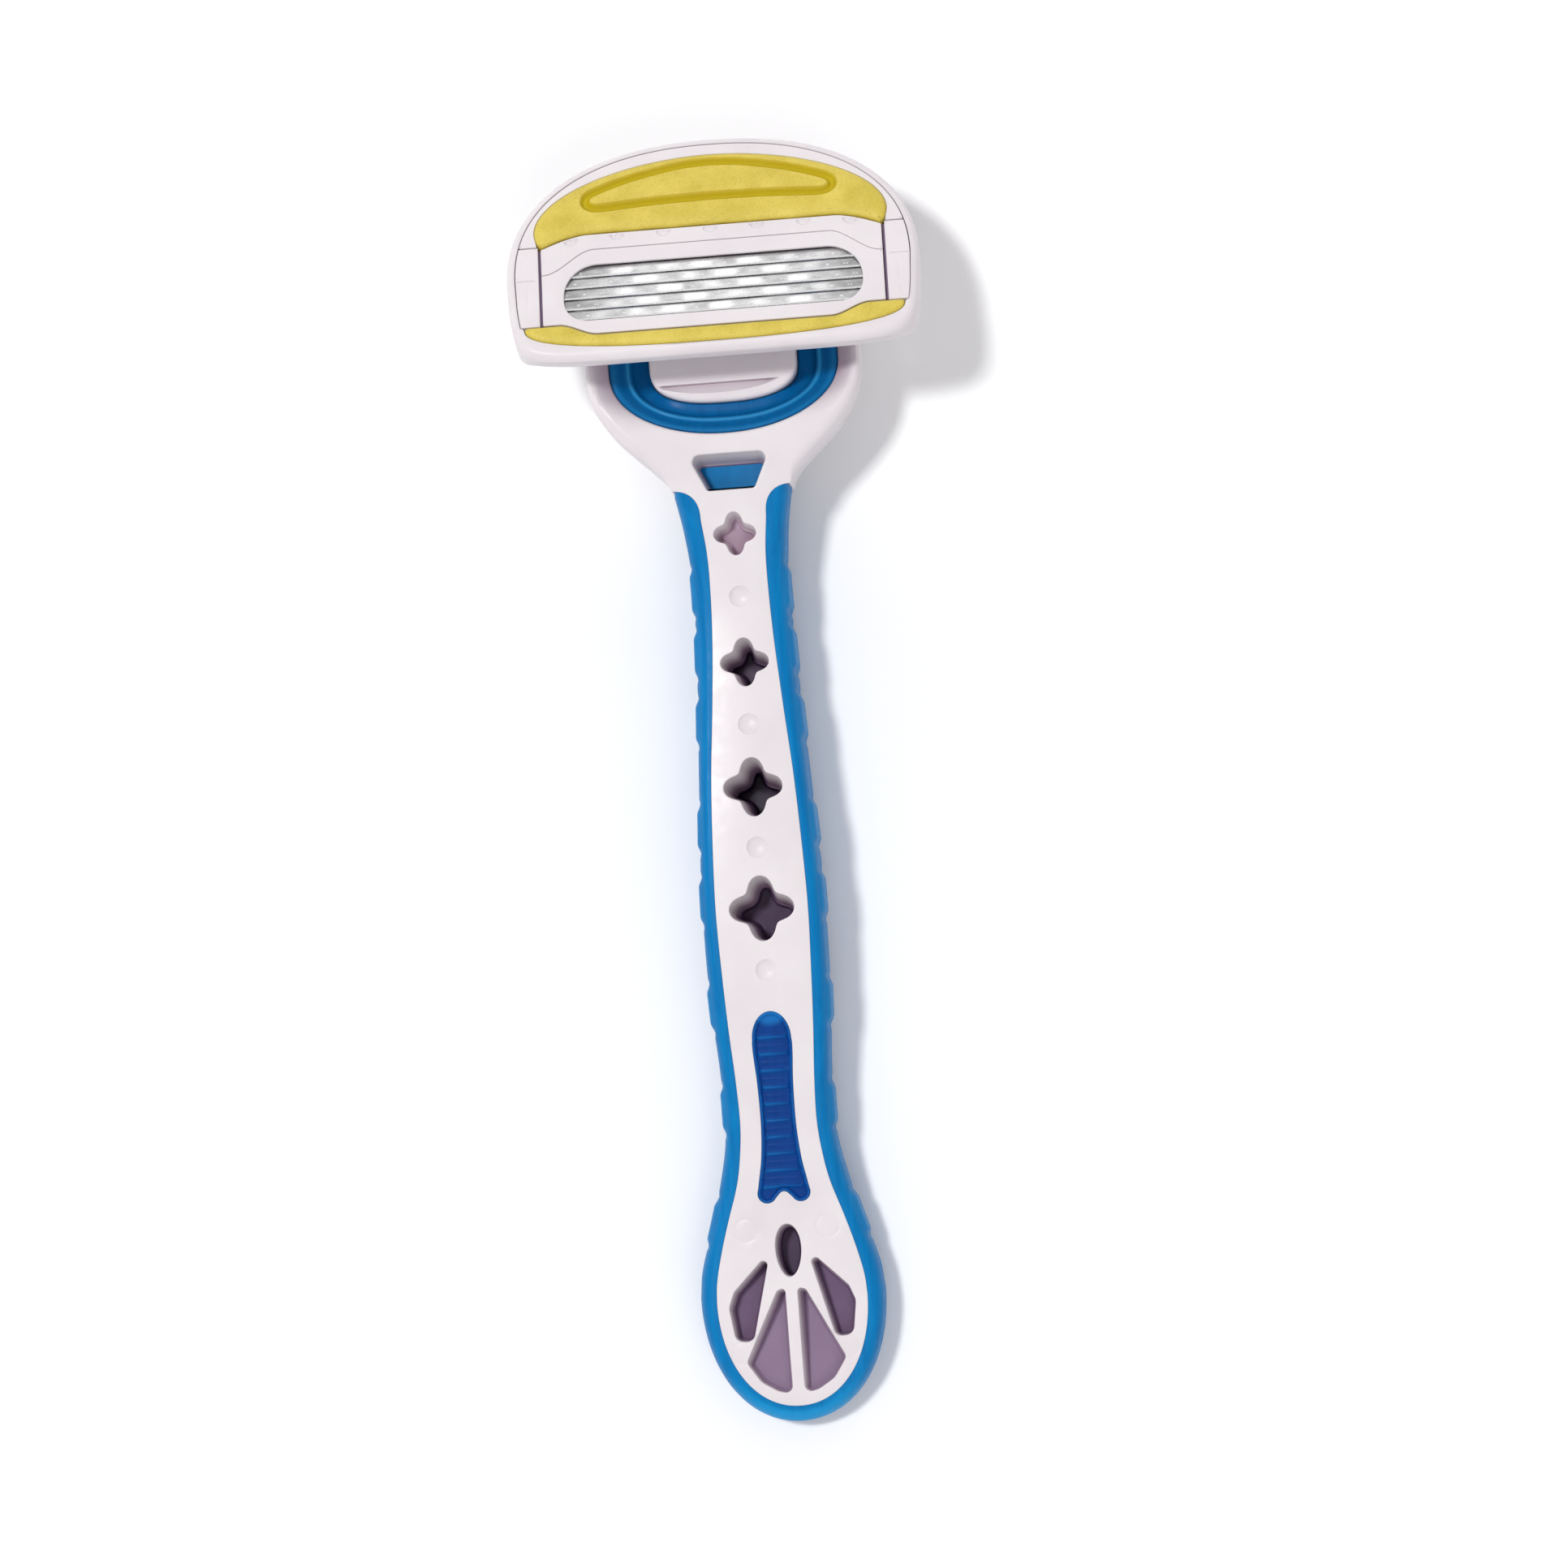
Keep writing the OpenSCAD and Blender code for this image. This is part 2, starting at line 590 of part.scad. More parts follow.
// Each blade is a thin strip that lies back from its cutting edge, welded to a bent support
blade_lean = 20;
blade_wide = 1.25;
blade_t = 0.1;
first_edge = window_top - 1.5;
function edge_v(i) = first_edge - blade_pitch * (i - 1);
module on_blade(i) in_head() translate([0, edge_v(i), -0.5]) rotate([-blade_lean, 0, 0]) children();
module blade(i) {
    color(STEEL) on_blade(i) translate([-blade_l / 2, 0, 0]) cube([blade_l, blade_wide, blade_t]);
}
function on_strip(u, h) = [u * cos(blade_lean) + h * sin(blade_lean), -0.5 - u * sin(blade_lean) + h * cos(blade_lean)];
module blade_support(i) {
    support_t = 0.14;
    bend_u = 1.19;
    bend = on_strip(bend_u, 0);
    inner_u = (bend[0] - support_t + support_t * sin(blade_lean)) / cos(blade_lean);
    inner = on_strip(inner_u, -support_t);
    color(STEEL) in_head() translate([0, edge_v(i), 0]) rotate([90, 0, 90])
        linear_extrude(blade_l, center = true)
        polygon([on_strip(0.3, 0), on_strip(0.3, -support_t), inner, [inner[0], -2.9], [bend[0], -2.9], bend]);
}

// ---- Assembly ----

placed() {
    handle_core();
    grip_overmold();
    thumb_pad();
    neck_insert();
    yoke_liner();
    release_button();
    button_springs();
    dock_block();
    pivot_pin();
    return_plunger();
    plunger_spring();
    head_shell();
    soap_tray();
    upper_soap_bar();
    lower_soap_bar();
    side_block(-1);  // side_block_left
    side_block(1);  // side_block_right
    rock_spring(-1);  // rock_spring_left
    rock_spring(1);  // rock_spring_right
    blade_housing();
    blade_cap();
    for (i = [1:blade_count]) {
        blade(i);
        blade_support(i);
    }
}
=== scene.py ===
"""Looks of the cartridge razor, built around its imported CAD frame.

Lengths in the shape code are in millimetres. The handle is drawn by station s, counted from the
tail tip, and the head is drawn in the plane of its face: x across, v towards the top, w outward.
"""
import json
import math

import bmesh
import bpy
import numpy as np
from mathutils import Matrix, Vector
from mathutils.geometry import delaunay_2d_cdt


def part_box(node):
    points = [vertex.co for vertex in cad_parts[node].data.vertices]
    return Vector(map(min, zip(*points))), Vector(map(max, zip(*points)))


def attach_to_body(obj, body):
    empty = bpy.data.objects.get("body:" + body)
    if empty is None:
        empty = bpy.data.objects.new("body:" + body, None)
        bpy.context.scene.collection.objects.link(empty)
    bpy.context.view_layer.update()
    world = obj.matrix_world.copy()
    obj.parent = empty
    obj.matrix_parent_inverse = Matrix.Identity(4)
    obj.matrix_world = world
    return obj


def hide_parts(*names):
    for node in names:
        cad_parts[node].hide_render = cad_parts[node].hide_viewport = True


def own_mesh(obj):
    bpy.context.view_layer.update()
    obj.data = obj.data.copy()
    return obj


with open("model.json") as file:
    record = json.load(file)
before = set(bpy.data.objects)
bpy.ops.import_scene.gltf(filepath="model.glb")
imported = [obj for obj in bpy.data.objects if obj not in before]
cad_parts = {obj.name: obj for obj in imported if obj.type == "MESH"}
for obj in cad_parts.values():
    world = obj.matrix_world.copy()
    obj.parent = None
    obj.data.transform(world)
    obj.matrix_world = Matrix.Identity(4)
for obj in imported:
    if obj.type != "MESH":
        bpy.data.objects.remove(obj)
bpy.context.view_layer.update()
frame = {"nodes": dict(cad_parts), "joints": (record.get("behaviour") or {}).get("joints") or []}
MM = 0.001

# ---- Places taken from the frame ----
TAIL_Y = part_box("grip_overmold")[0].y / MM
JOINTS = {j["name"]: j for j in frame["joints"]}
PIVOT = Vector(JOINTS["head_pivot"]["pos_m"]) / MM
NECK_LIFT = 5.5
HEAD_TILT = math.radians(20)
SHELL_DEPTH = 5.2
PIVOT_V, PIVOT_W = -1, -SHELL_DEPTH - 2


# ---- Small maths ----

def smooth(t):
    t = np.clip(t, 0, 1)
    return t * t * (3 - 2 * t)


def curve(points, s):
    """A smooth curve through [station, value] points, read at stations s."""
    p = np.array(points, float)
    s = np.clip(np.asarray(s, float), p[0, 0], p[-1, 0])
    before = np.maximum(np.arange(len(p)) - 1, 0)
    after = np.minimum(np.arange(len(p)) + 1, len(p) - 1)
    slope = (p[after, 1] - p[before, 1]) / (p[after, 0] - p[before, 0])
    i = np.clip(np.searchsorted(p[:, 0], s, "right") - 1, 0, len(p) - 2)
    h = p[i + 1, 0] - p[i, 0]
    t = (s - p[i, 0]) / h
    return ((1 + 2 * t) * (1 - t) ** 2 * p[i, 1] + t * (1 - t) ** 2 * h * slope[i]
            + t * t * (3 - 2 * t) * p[i + 1, 1] + t * t * (t - 1) * h * slope[i + 1])


def superellipse(a, b, n, start, end, count):
    """Points of a superellipse from angle start to end, in degrees, counted from +X."""
    t = np.radians(np.linspace(start, end, count))
    c, s = np.cos(t), np.sin(t)
    return np.stack([a * np.sign(c) * np.abs(c) ** (2 / n), b * np.sign(s) * np.abs(s) ** (2 / n)], 1)


def mirrored(half):
    """Closes the +X half of an outline, listed from its low end to its high end, with its mirror."""
    half = np.asarray(half, float)
    back = half[::-1] * [-1, 1]
    return np.concatenate([half, back])


def resample(loop, step):
    """The closed loop with points about step apart, the same way round, without the doubles."""
    loop = np.asarray(loop, float)
    keep = np.linalg.norm(loop - np.roll(loop, 1, 0), axis=1) > 1e-6
    loop = loop[keep]
    closed = np.concatenate([loop, loop[:1]])
    length = np.concatenate([[0], np.cumsum(np.linalg.norm(np.diff(closed, axis=0), axis=1))])
    n = max(8, int(round(length[-1] / step)))
    at = np.linspace(0, length[-1], n, endpoint=False)
    return np.stack([np.interp(at, length, closed[:, k]) for k in (0, 1)], 1)


def anticlockwise(loop):
    x, y = loop[:, 0], loop[:, 1]
    return loop if np.sum(x * np.roll(y, -1) - np.roll(x, -1) * y) > 0 else loop[::-1]


def inset(loop, distance):
    """The anticlockwise loop moved inward by distance, which may differ from point to point."""
    ahead = np.roll(loop, -1, 0) - loop
    behind = loop - np.roll(loop, 1, 0)
    unit = [d / np.maximum(np.linalg.norm(d, axis=1, keepdims=True), 1e-9) for d in (ahead, behind)]
    normal = sum(np.stack([-u[:, 1], u[:, 0]], 1) for u in unit) / 2
    size = np.maximum(np.linalg.norm(normal, axis=1, keepdims=True), 0.6)
    return loop + normal / size ** 2 * np.reshape(distance, (-1, 1))


def inside(points, loop):
    """True for the points that lie inside the closed loop."""
    x, y = points[:, 0][:, None], points[:, 1][:, None]
    ax, ay = loop[:, 0], loop[:, 1]
    bx, by = np.roll(ax, -1), np.roll(ay, -1)
    rise = np.where(by == ay, 1e-12, by - ay)
    hit = ((ay > y) != (by > y)) & (x < (bx - ax) * (y - ay) / rise + ax)
    return hit.sum(1) % 2 == 1


def within(points, loops):
    """True for the points inside the first loop and outside all the others."""
    keep = inside(points, loops[0])
    for hole in loops[1:]:
        keep &= ~inside(points, hole)
    return keep


def distance(points, others):
    """Distance from each point to the nearest of the others."""
    out = np.empty(len(points))
    for i in range(0, len(points), 2000):
        part = points[i:i + 2000]
        gap = part[:, None, :] - others[None, :, :]
        out[i:i + 2000] = np.sqrt((gap ** 2).sum(2).min(1))
    return out


def circle(x, y, r, count=24):
    t = np.linspace(0, 2 * math.pi, count, endpoint=False)
    return np.stack([x + r * np.cos(t), y + r * np.sin(t)], 1)


def lattice(across, along):
    """Every pairing of the two lists, as points."""
    x, y = np.meshgrid(across, along)
    return np.stack([x.ravel(), y.ravel()], 1)


def ridges(y, first, pitch, count, width):
    """A row of evenly spaced round ridges across y, each 1 high."""
    return sum(np.exp(-((y - (first + pitch * i)) / width) ** 2) for i in range(count))


def flat_at(level):
    """A height function that is the same everywhere."""
    return lambda x, y: np.full(len(x), float(level))


def rounded(corners, radii, step=12):
    """A polygon with each corner rounded by its own radius."""
    corners = np.asarray(corners, float)
    out = []
    for i, corner in enumerate(corners):
        a = corners[i - 1] - corner
        b = corners[(i + 1) % len(corners)] - corner
        a, b = a / np.linalg.norm(a), b / np.linalg.norm(b)
        half = math.acos(np.clip(a @ b, -1, 1)) / 2
        reach = radii[i] / math.tan(half)
        centre = corner + (a + b) / np.linalg.norm(a + b) * radii[i] / math.sin(half)
        p, q = corner + a * reach - centre, corner + b * reach - centre
        start = math.atan2(p[1], p[0])
        sweep = (math.atan2(q[1], q[0]) - start + math.pi) % (2 * math.pi) - math.pi
        for k in range(step + 1):
            t = start + sweep * k / step
            out.append(centre + radii[i] * np.array([math.cos(t), math.sin(t)]))
    return np.array(out)


def rectangle(x0, x1, y0, y1, radius, step=12):
    """A rectangle with all four corners rounded alike."""
    return rounded([(x0, y0), (x1, y0), (x1, y1), (x0, y1)], [radius] * 4, step)


# ---- Solids ----

class Solid:
    """Collects the points and faces of one piece."""

    def __init__(self):
        self.points = []
        self.faces = []
        self.shade = {}

    def mark(self, rows, values):
        """Notes the painted shade or painted highlight on the points of each row, for the material."""
        for row, value in zip(rows, values):
            value = np.broadcast_to(value, (len(row),))
            self.shade.update({int(i): float(v) for i, v in zip(row, value)})

    def paint(self, values, first=0):
        """Marks every point from the first given on."""
        self.mark([np.arange(first, len(self.points))], [values])

    def add(self, flat, height):
        first = len(self.points)
        height = np.broadcast_to(height, (len(flat),))
        self.points.extend((p[0], p[1], h) for p, h in zip(flat, height))
        return np.arange(first, first + len(flat))

    def rings(self, rows, closed=True):
        for a, b in zip(rows, rows[1:]):
            n = len(a)
            for i in range(n if closed else n - 1):
                j = (i + 1) % n
                self.faces.append((a[i], a[j], b[j], b[i]))

    def ends(self, rows):
        """Closes a tube at its first and last row."""
        self.faces.append(tuple(rows[0]))
        self.faces.append(tuple(rows[-1]))

    def cap(self, loops, height, spacing, extra=None):
        """Fills the first loop, around the others, with a triangle mesh that follows height."""
        flats = [np.array([self.points[i][:2] for i in loop]) for loop in loops]
        low, high = flats[0].min(0), flats[0].max(0)
        rows = np.arange(low[1] + spacing / 2, high[1], spacing * 0.866)
        grid = [np.zeros((0, 2))]
        for k, y in enumerate(rows):
            x = np.arange(low[0] + spacing * (0.25 + 0.5 * (k % 2)), high[0], spacing)
            grid.append(np.stack([x, np.full(len(x), y)], 1))
        fill = np.concatenate(grid)
        border = np.concatenate(flats)
        if extra is not None and len(extra):
            extra = extra[within(extra, flats)]
            extra = extra[distance(extra, border) > 0.04]
            fill = fill[distance(fill, extra) > 0.45 * spacing] if len(extra) else fill
        if len(fill):
            fill = fill[within(fill, flats)]
            fill = fill[distance(fill, border) > 0.55 * spacing]
        if extra is not None and len(extra):
            fill = np.concatenate([fill, extra])
        index = list(np.concatenate(loops))
        if len(fill):
            index += list(self.add(fill, height(fill[:, 0], fill[:, 1])))
        flat = [Vector(p) for p in np.concatenate([border, fill])]
        edges, first = [], 0
        for loop in loops:
            n = len(loop)
            edges += [(first + i, first + (i + 1) % n) for i in range(n)]
            first += n
        _, _, triangles, origins, _, _ = delaunay_2d_cdt(flat, edges, [], 0, 1e-7)
        source = [o[0] if o else -1 for o in origins]
        triangles = np.array([[source[i] for i in t] for t in triangles])
        triangles = triangles[(triangles >= 0).all(1)]
        place = np.array([[p[0], p[1]] for p in flat])
        keep = within(place[triangles].mean(1), flats)
        index = np.array(index)
        self.faces.extend(tuple(index[t]) for t in triangles[keep])


SUPPORT = 0.06
ROUND_STEPS = 5
WALL_STEPS = 7
WALL_SHARE = 0.86
LIT_SIDE = (-0.5, 0.86)


def rounding(radius, drop=None):
    """(inset, drop) pairs of a rounded edge, from the flat round to the wall."""
    drop = radius if drop is None else drop
    steps = [(radius + SUPPORT, radius * 0)]
    for k in range(ROUND_STEPS + 1):
        a = math.pi / 2 * k / ROUND_STEPS
        steps.append((radius * (1 - math.sin(a)), drop * (1 - math.cos(a))))
    return steps


def wall(solid, outline, sign, upper, lower):
    """The side of a plate or, with sign -1, of a hole. upper and lower hold each face's height
    function, the radius of its edge and its drop. Returns the rows where the faces begin."""
    rows = []
    for (height, radius, drop), way in ((upper, -1), (lower, 1)):
        steps = [(inset(outline, sign * move), fall) for move, fall in rounding(radius, drop)]
        for flat, fall in steps[::-way]:
            rows.append(solid.add(flat, height(flat[:, 0], flat[:, 1]) + way * fall))
    solid.rings(rows)
    return rows[0], rows[-1]


def slab(solid, loop, top, bottom, rim=0.15, foot=0.15, rim_drop=None, foot_drop=None,
         holes=(), pockets=(), back_pockets=(), spacing=0.8, extra=None, back_spacing=1.6):
    """A plate between two height functions, with rounded edges, through holes and pockets."""
    upper, lower = [], []
    first, last = wall(solid, loop, 1, (top, rim, rim_drop), (bottom, foot, foot_drop))
    upper.append(first)
    lower.append(last)
    for hole, r in holes:
        first, last = wall(solid, hole, -1, (top, r, None), (bottom, r, None))
        upper.append(first)
        lower.append(last)
    for p in pockets:
        upper.append(pocket(solid, top, -1, **p))
    for p in back_pockets:
        lower.append(pocket(solid, bottom, 1, **p))
    solid.cap(upper, top, spacing, extra)
    solid.cap(lower, bottom, back_spacing)


def pocket(solid, surface, way, outline, floor, rim=0.12, draft=0.0, fillet=0.4, spacing=0.6,
           lean=(0, 0), dark=0.0):
    """A pocket let into a surface. Its walls draw in by draft by the time they reach the floor,
    lean shifts the floor sideways, and dark is how shaded it looks, less on the walls that face
    the light. Returns the surface ring."""
    lean = np.array(lean, float)
    rows, shades = [], []
    ahead = np.roll(outline, -1, 0) - np.roll(outline, 1, 0)
    outward = np.stack([ahead[:, 1], -ahead[:, 0]], 1) / np.linalg.norm(ahead, axis=1, keepdims=True)
    lit = smooth(outward @ np.array(LIT_SIDE) + 0.3)
    for move, drop in rounding(rim):
        flat = inset(outline, -move)
        rows.append(solid.add(flat, surface(flat[:, 0], flat[:, 1]) + way * drop))
        shades.append(0)
    x, y = outline[:, 0], outline[:, 1]
    start = surface(x, y) + way * rim
    bed = floor if callable(floor) else flat_at(floor)
    end = bed(x, y)
    for k in range(1, WALL_STEPS + 1):
        t = k / WALL_STEPS
        depth = t * WALL_SHARE
        flat = inset(outline, draft * depth) + lean * depth
        rows.append(solid.add(flat, start + (end - start) * depth))
        shades.append(dark * smooth(t) ** 2 * (1 - 0.6 * lit))
    rest = 1 - WALL_SHARE
    for k in range(1, ROUND_STEPS + 1):
        a = math.pi / 2 * k / ROUND_STEPS
        drift = lean * (WALL_SHARE + rest * math.sin(a))
        depth = WALL_SHARE + rest * (1 - math.cos(a)) ** 0.8
        flat = inset(outline, draft * WALL_SHARE + fillet * math.sin(a)) + drift
        rows.append(solid.add(flat, start + (end - start) * depth))
        shades.append(dark)
    solid.rings(rows)
    solid.mark(rows, shades)
    first = len(solid.points)
    solid.cap([rows[-1]], bed, spacing)
    solid.paint(dark, first)
    return rows[0]


# ---- Frames: millimetres to the shared frame's metres ----

def on_handle(points):
    return (points + [0, TAIL_Y, 0]) * MM


COS, SIN = math.cos(HEAD_TILT), math.sin(HEAD_TILT)
FACE_Y = PIVOT.y - PIVOT_V * COS - PIVOT_W * SIN
FACE_Z = PIVOT.z + PIVOT_V * SIN - PIVOT_W * COS


def on_head(points):
    x, v, w = points.T
    return np.stack([x, FACE_Y + v * COS + w * SIN, FACE_Z - v * SIN + w * COS], 1) * MM


def piece(name, solid, place, body, material, nodes=(), sharp=38, weld=1e-4):
    """Makes the Blender object of a solid and ties it to the frame."""
    mesh = bpy.data.meshes.new(name)
    points = place(np.array(solid.points, float))
    mesh.from_pydata(points.tolist(), [], [tuple(int(i) for i in f) for f in solid.faces])
    if solid.shade:
        layer = mesh.attributes.new("shade", "FLOAT", "POINT")
        layer.data.foreach_set("value", [solid.shade.get(i, 0.0) for i in range(len(points))])
    work = bmesh.new()
    work.from_mesh(mesh)
    bmesh.ops.remove_doubles(work, verts=work.verts, dist=weld * MM)
    bmesh.ops.dissolve_degenerate(work, dist=1e-5 * MM, edges=work.edges)
    bmesh.ops.recalc_face_normals(work, faces=work.faces)
    work.to_mesh(mesh)
    work.free()
    mesh.materials.append(material)
    mesh.shade_smooth()
    mesh.set_sharp_from_angle(angle=math.radians(sharp))
    obj = bpy.data.objects.new(name, mesh)
    bpy.context.scene.collection.objects.link(obj)
    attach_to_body(obj, body)
    if nodes:
        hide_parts(*nodes)
    return obj


# ---- Materials ----

def material(name, colour, roughness, **settings):
    """A Principled material with its uniform values set on the shader's own sockets."""
    m = bpy.data.materials.new(name)
    m.use_nodes = True
    shader = m.node_tree.nodes["Principled BSDF"]
    shader.inputs["Base Color"].default_value = (*colour, 1)
    shader.inputs["Roughness"].default_value = roughness
    for key, value in settings.items():
        shader.inputs[key.replace("_", " ")].default_value = value
    return m


def node(m, kind, links=(), **values):
    """Adds a node, sets its properties and sockets, and links (socket, source) pairs into it."""
    n = m.node_tree.nodes.new(kind)
    for key, value in values.items():
        if hasattr(n, key):
            setattr(n, key, value)
        else:
            n.inputs[key.replace("_", " ")].default_value = value
    for socket, source in links:
        m.node_tree.links.new(source, n.inputs[socket])
    return n


def place_of(m):
    """The object's own coordinates in millimetres."""
    at = node(m, "ShaderNodeTexCoord")
    scale = node(m, "ShaderNodeVectorMath", [(0, at.outputs["Object"])], operation="SCALE")
    scale.inputs["Scale"].default_value = 1 / MM
    return scale.outputs[0]


def stretched(m, place, scale):
    """The place with its own scale along each axis."""
    n = node(m, "ShaderNodeVectorMath", [(0, place)], operation="MULTIPLY")
    n.inputs[1].default_value = scale
    return n.outputs[0]


def painted(m, layer):
    """The value that a piece stores on its points."""
    return node(m, "ShaderNodeAttribute", attribute_name=layer).outputs["Fac"]


def noise(m, place, scale, detail=3.0, rough=0.55):
    n = node(m, "ShaderNodeTexNoise", [("Vector", place)])
    n.inputs["Scale"].default_value = scale
    n.inputs["Detail"].default_value = detail
    n.inputs["Roughness"].default_value = rough
    return n.outputs["Fac"]


def ramp(m, source, stops):
    n = node(m, "ShaderNodeValToRGB", [("Fac", source)])
    while len(n.color_ramp.elements) < len(stops):
        n.color_ramp.elements.new(0.5)
    for element, (at, colour) in zip(n.color_ramp.elements, stops):
        element.position = at
        element.color = (*colour, 1) if len(colour) == 3 else colour
    return n.outputs["Color"]


def grey(v):
    return (v, v, v)


def mix(m, fac, a, b, blend="MIX"):
    n = node(m, "ShaderNodeMix", data_type="RGBA", blend_type=blend)
    for socket, value in ((n.inputs[0], fac), (n.inputs[6], a), (n.inputs[7], b)):
        if isinstance(value, bpy.types.NodeSocket):
            m.node_tree.links.new(value, socket)
        elif isinstance(value, (int, float)):
            socket.default_value = value
        else:
            socket.default_value = (*value, 1)
    return n.outputs[2]


def attach(m, socket, source):
    m.node_tree.links.new(source, m.node_tree.nodes["Principled BSDF"].inputs[socket])


def bump(m, height, distance_mm, strength=1.0, after=None):
    links = [("Height", height)] + ([("Normal", after)] if after else [])
    n = node(m, "ShaderNodeBump", links)
    n.inputs["Distance"].default_value = distance_mm * MM
    n.inputs["Strength"].default_value = strength
    return n.outputs["Normal"]


def linear(*rgb):
    """An sRGB colour, from 0 to 255, as the shader's linear values."""
    return tuple(((c / 255 + 0.055) / 1.055) ** 2.4 if c > 10 else c / 255 / 12.92 for c in rgb)


def white_plastic():
    """Moulded white plastic with a faint lilac cast and flow mottling, with painted shade down in its
    pockets, slits and hollows.
    """
    m = material("white_plastic", linear(240, 233, 237), 0.33, Subsurface_Weight=0.08,
                 Subsurface_Radius=(0.0010, 0.0007, 0.0009), Subsurface_Scale=1.0, Specular_IOR_Level=0.25)
    at = place_of(m)
    mottling = ramp(m, noise(m, at, 0.11, 2),
                    [(0.3, linear(220, 213, 216)), (0.7, linear(228, 222, 224))])
    specks = ramp(m, noise(m, at, 1.7, 4), [(0.24, linear(228, 220, 226)), (0.3, (1, 1, 1))])
    body = mix(m, 0.3, mottling, specks, "MULTIPLY")
    # Painted shade: the stored value darkens the colour in pockets, the slit lip, the ledge well and the
    # yoke's slopes
    depth = ramp(m, painted(m, "shade"), PAINTED_SHADE_TONES)
    attach(m, "Base Color", mix(m, 1.0, body, depth, "MULTIPLY"))
    attach(m, "Roughness", ramp(m, noise(m, at, 0.9, 4), [(0.3, grey(0.28)), (0.75, grey(0.42))]))
    orange_peel = bump(m, noise(m, at, 1.1, 2), 0.015, 0.5)
    attach(m, "Normal", bump(m, noise(m, at, 9.0, 2), 0.003, 0.5, orange_peel))
    return m


def soft_grip(name, deep, light, roughness=0.42, painted_highlight=None):
    """Soft elastomer: two blues, fine flow lines, a silky surface, and a painted highlight where it is
    marked.
    """
    m = material(name, deep, roughness, Specular_IOR_Level=0.12, Subsurface_Weight=0.05,
                 Subsurface_Radius=(0.0002, 0.0008, 0.0016), Subsurface_Scale=1.0)
    at = place_of(m)
    flow = noise(m, stretched(m, at, (1.4, 0.07, 1.4)), 1.0, 4, 0.6)
    body = ramp(m, flow, [(0.3, deep), (0.75, light)])
    # Painted highlight: the stored value mixes the colour towards the lighter blue
    attach(m, "Base Color", mix(m, painted(m, "shade"), body, painted_highlight or light))
    silk = [(0.3, grey(roughness - 0.07)), (0.8, grey(roughness + 0.1))]
    attach(m, "Roughness", ramp(m, noise(m, at, 1.4, 4), silk))
    lines = bump(m, flow, 0.015, 0.35)
    attach(m, "Normal", bump(m, noise(m, at, 7.0, 3), 0.004, 0.6, lines))
    return m


def soap_material():
    """Waxy soap bar: warm yellow with fine darker specks, tiny pits, a soft glow and painted shade in its
    groove.
    """
    m = material("soap", linear(220, 202, 92), 0.5, Specular_IOR_Level=0.3, Subsurface_Weight=0.2,
                 Subsurface_Radius=(0.0012, 0.0009, 0.0003), Subsurface_Scale=1.0)
    at = place_of(m)
    cloud = ramp(m, noise(m, at, 0.35, 3), [(0.3, linear(203, 183, 74)), (0.7, linear(219, 199, 92))])
    specks = ramp(m, noise(m, at, 4.2, 3, 0.7), [(0.36, linear(205, 186, 120)), (0.48, (1, 1, 1))])
    body = mix(m, 0.3, cloud, specks, "MULTIPLY")
    # Painted shade in the groove
    attach(m, "Base Color", mix(m, painted(m, "groove"), body, linear(190, 168, 0)))
    attach(m, "Roughness", ramp(m, noise(m, at, 2.0, 4), [(0.3, grey(0.42)), (0.8, grey(0.62))]))
    lumps = bump(m, noise(m, at, 1.2, 3), 0.03, 0.6)
    attach(m, "Normal", bump(m, noise(m, at, 6.0, 4, 0.7), 0.015, 0.7, lumps))
    return m


def blade_steel():
    """Strip steel with fine grinding lines: grey, with painted shade towards the ends, and white where
    painted highlights mark it as catching light.
    """
    m = material("blade_steel", (0.9, 0.9, 0.91), 0.3, Metallic=0.75)
    at = place_of(m)
    cloud = ramp(m, noise(m, stretched(m, at, (0.42, 0.9, 0.9)), 1.0, 2.0),
                 [(0.34, grey(0.46)), (0.5, grey(0.56)), (0.68, grey(0.68))])
    across = node(m, "ShaderNodeSeparateXYZ", [(0, at)])
    far = node(m, "ShaderNodeMath", [(0, across.outputs["X"])], operation="ABSOLUTE")
    # Painted shade towards both ends of the strip
    ends = node(m, "ShaderNodeMapRange", [("Value", far.outputs[0])])
    ends.inputs["From Min"].default_value = 10
    ends.inputs["From Max"].default_value = 17.5
    toned = mix(m, ends.outputs["Result"], cloud, mix(m, 1.0, cloud, grey(0.55), "MULTIPLY"))
    attach(m, "Base Color", mix(m, painted(m, "shade"), toned, (1, 1, 1)))
    lines = noise(m, stretched(m, at, (22.0, 0.6, 0.6)), 1.0, 3)
    attach(m, "Roughness", ramp(m, lines, [(0.3, grey(0.24)), (0.8, grey(0.38))]))
    attach(m, "Normal", bump(m, lines, 0.001, 0.3))
    return m


def spring_steel():
    """Drawn wire and pressed strip: darker steel with fine draw marks."""
    m = material("spring_steel", (0.55, 0.56, 0.58), 0.3, Metallic=1.0)
    at = place_of(m)
    attach(m, "Base Color", ramp(m, noise(m, at, 3.0, 4), [(0.3, grey(0.42)), (0.7, grey(0.66))]))
    attach(m, "Roughness", ramp(m, noise(m, at, 6.0, 4), [(0.3, grey(0.22)), (0.8, grey(0.42))]))
    attach(m, "Normal", bump(m, noise(m, at, 12.0, 3), 0.004, 0.6))
    return m


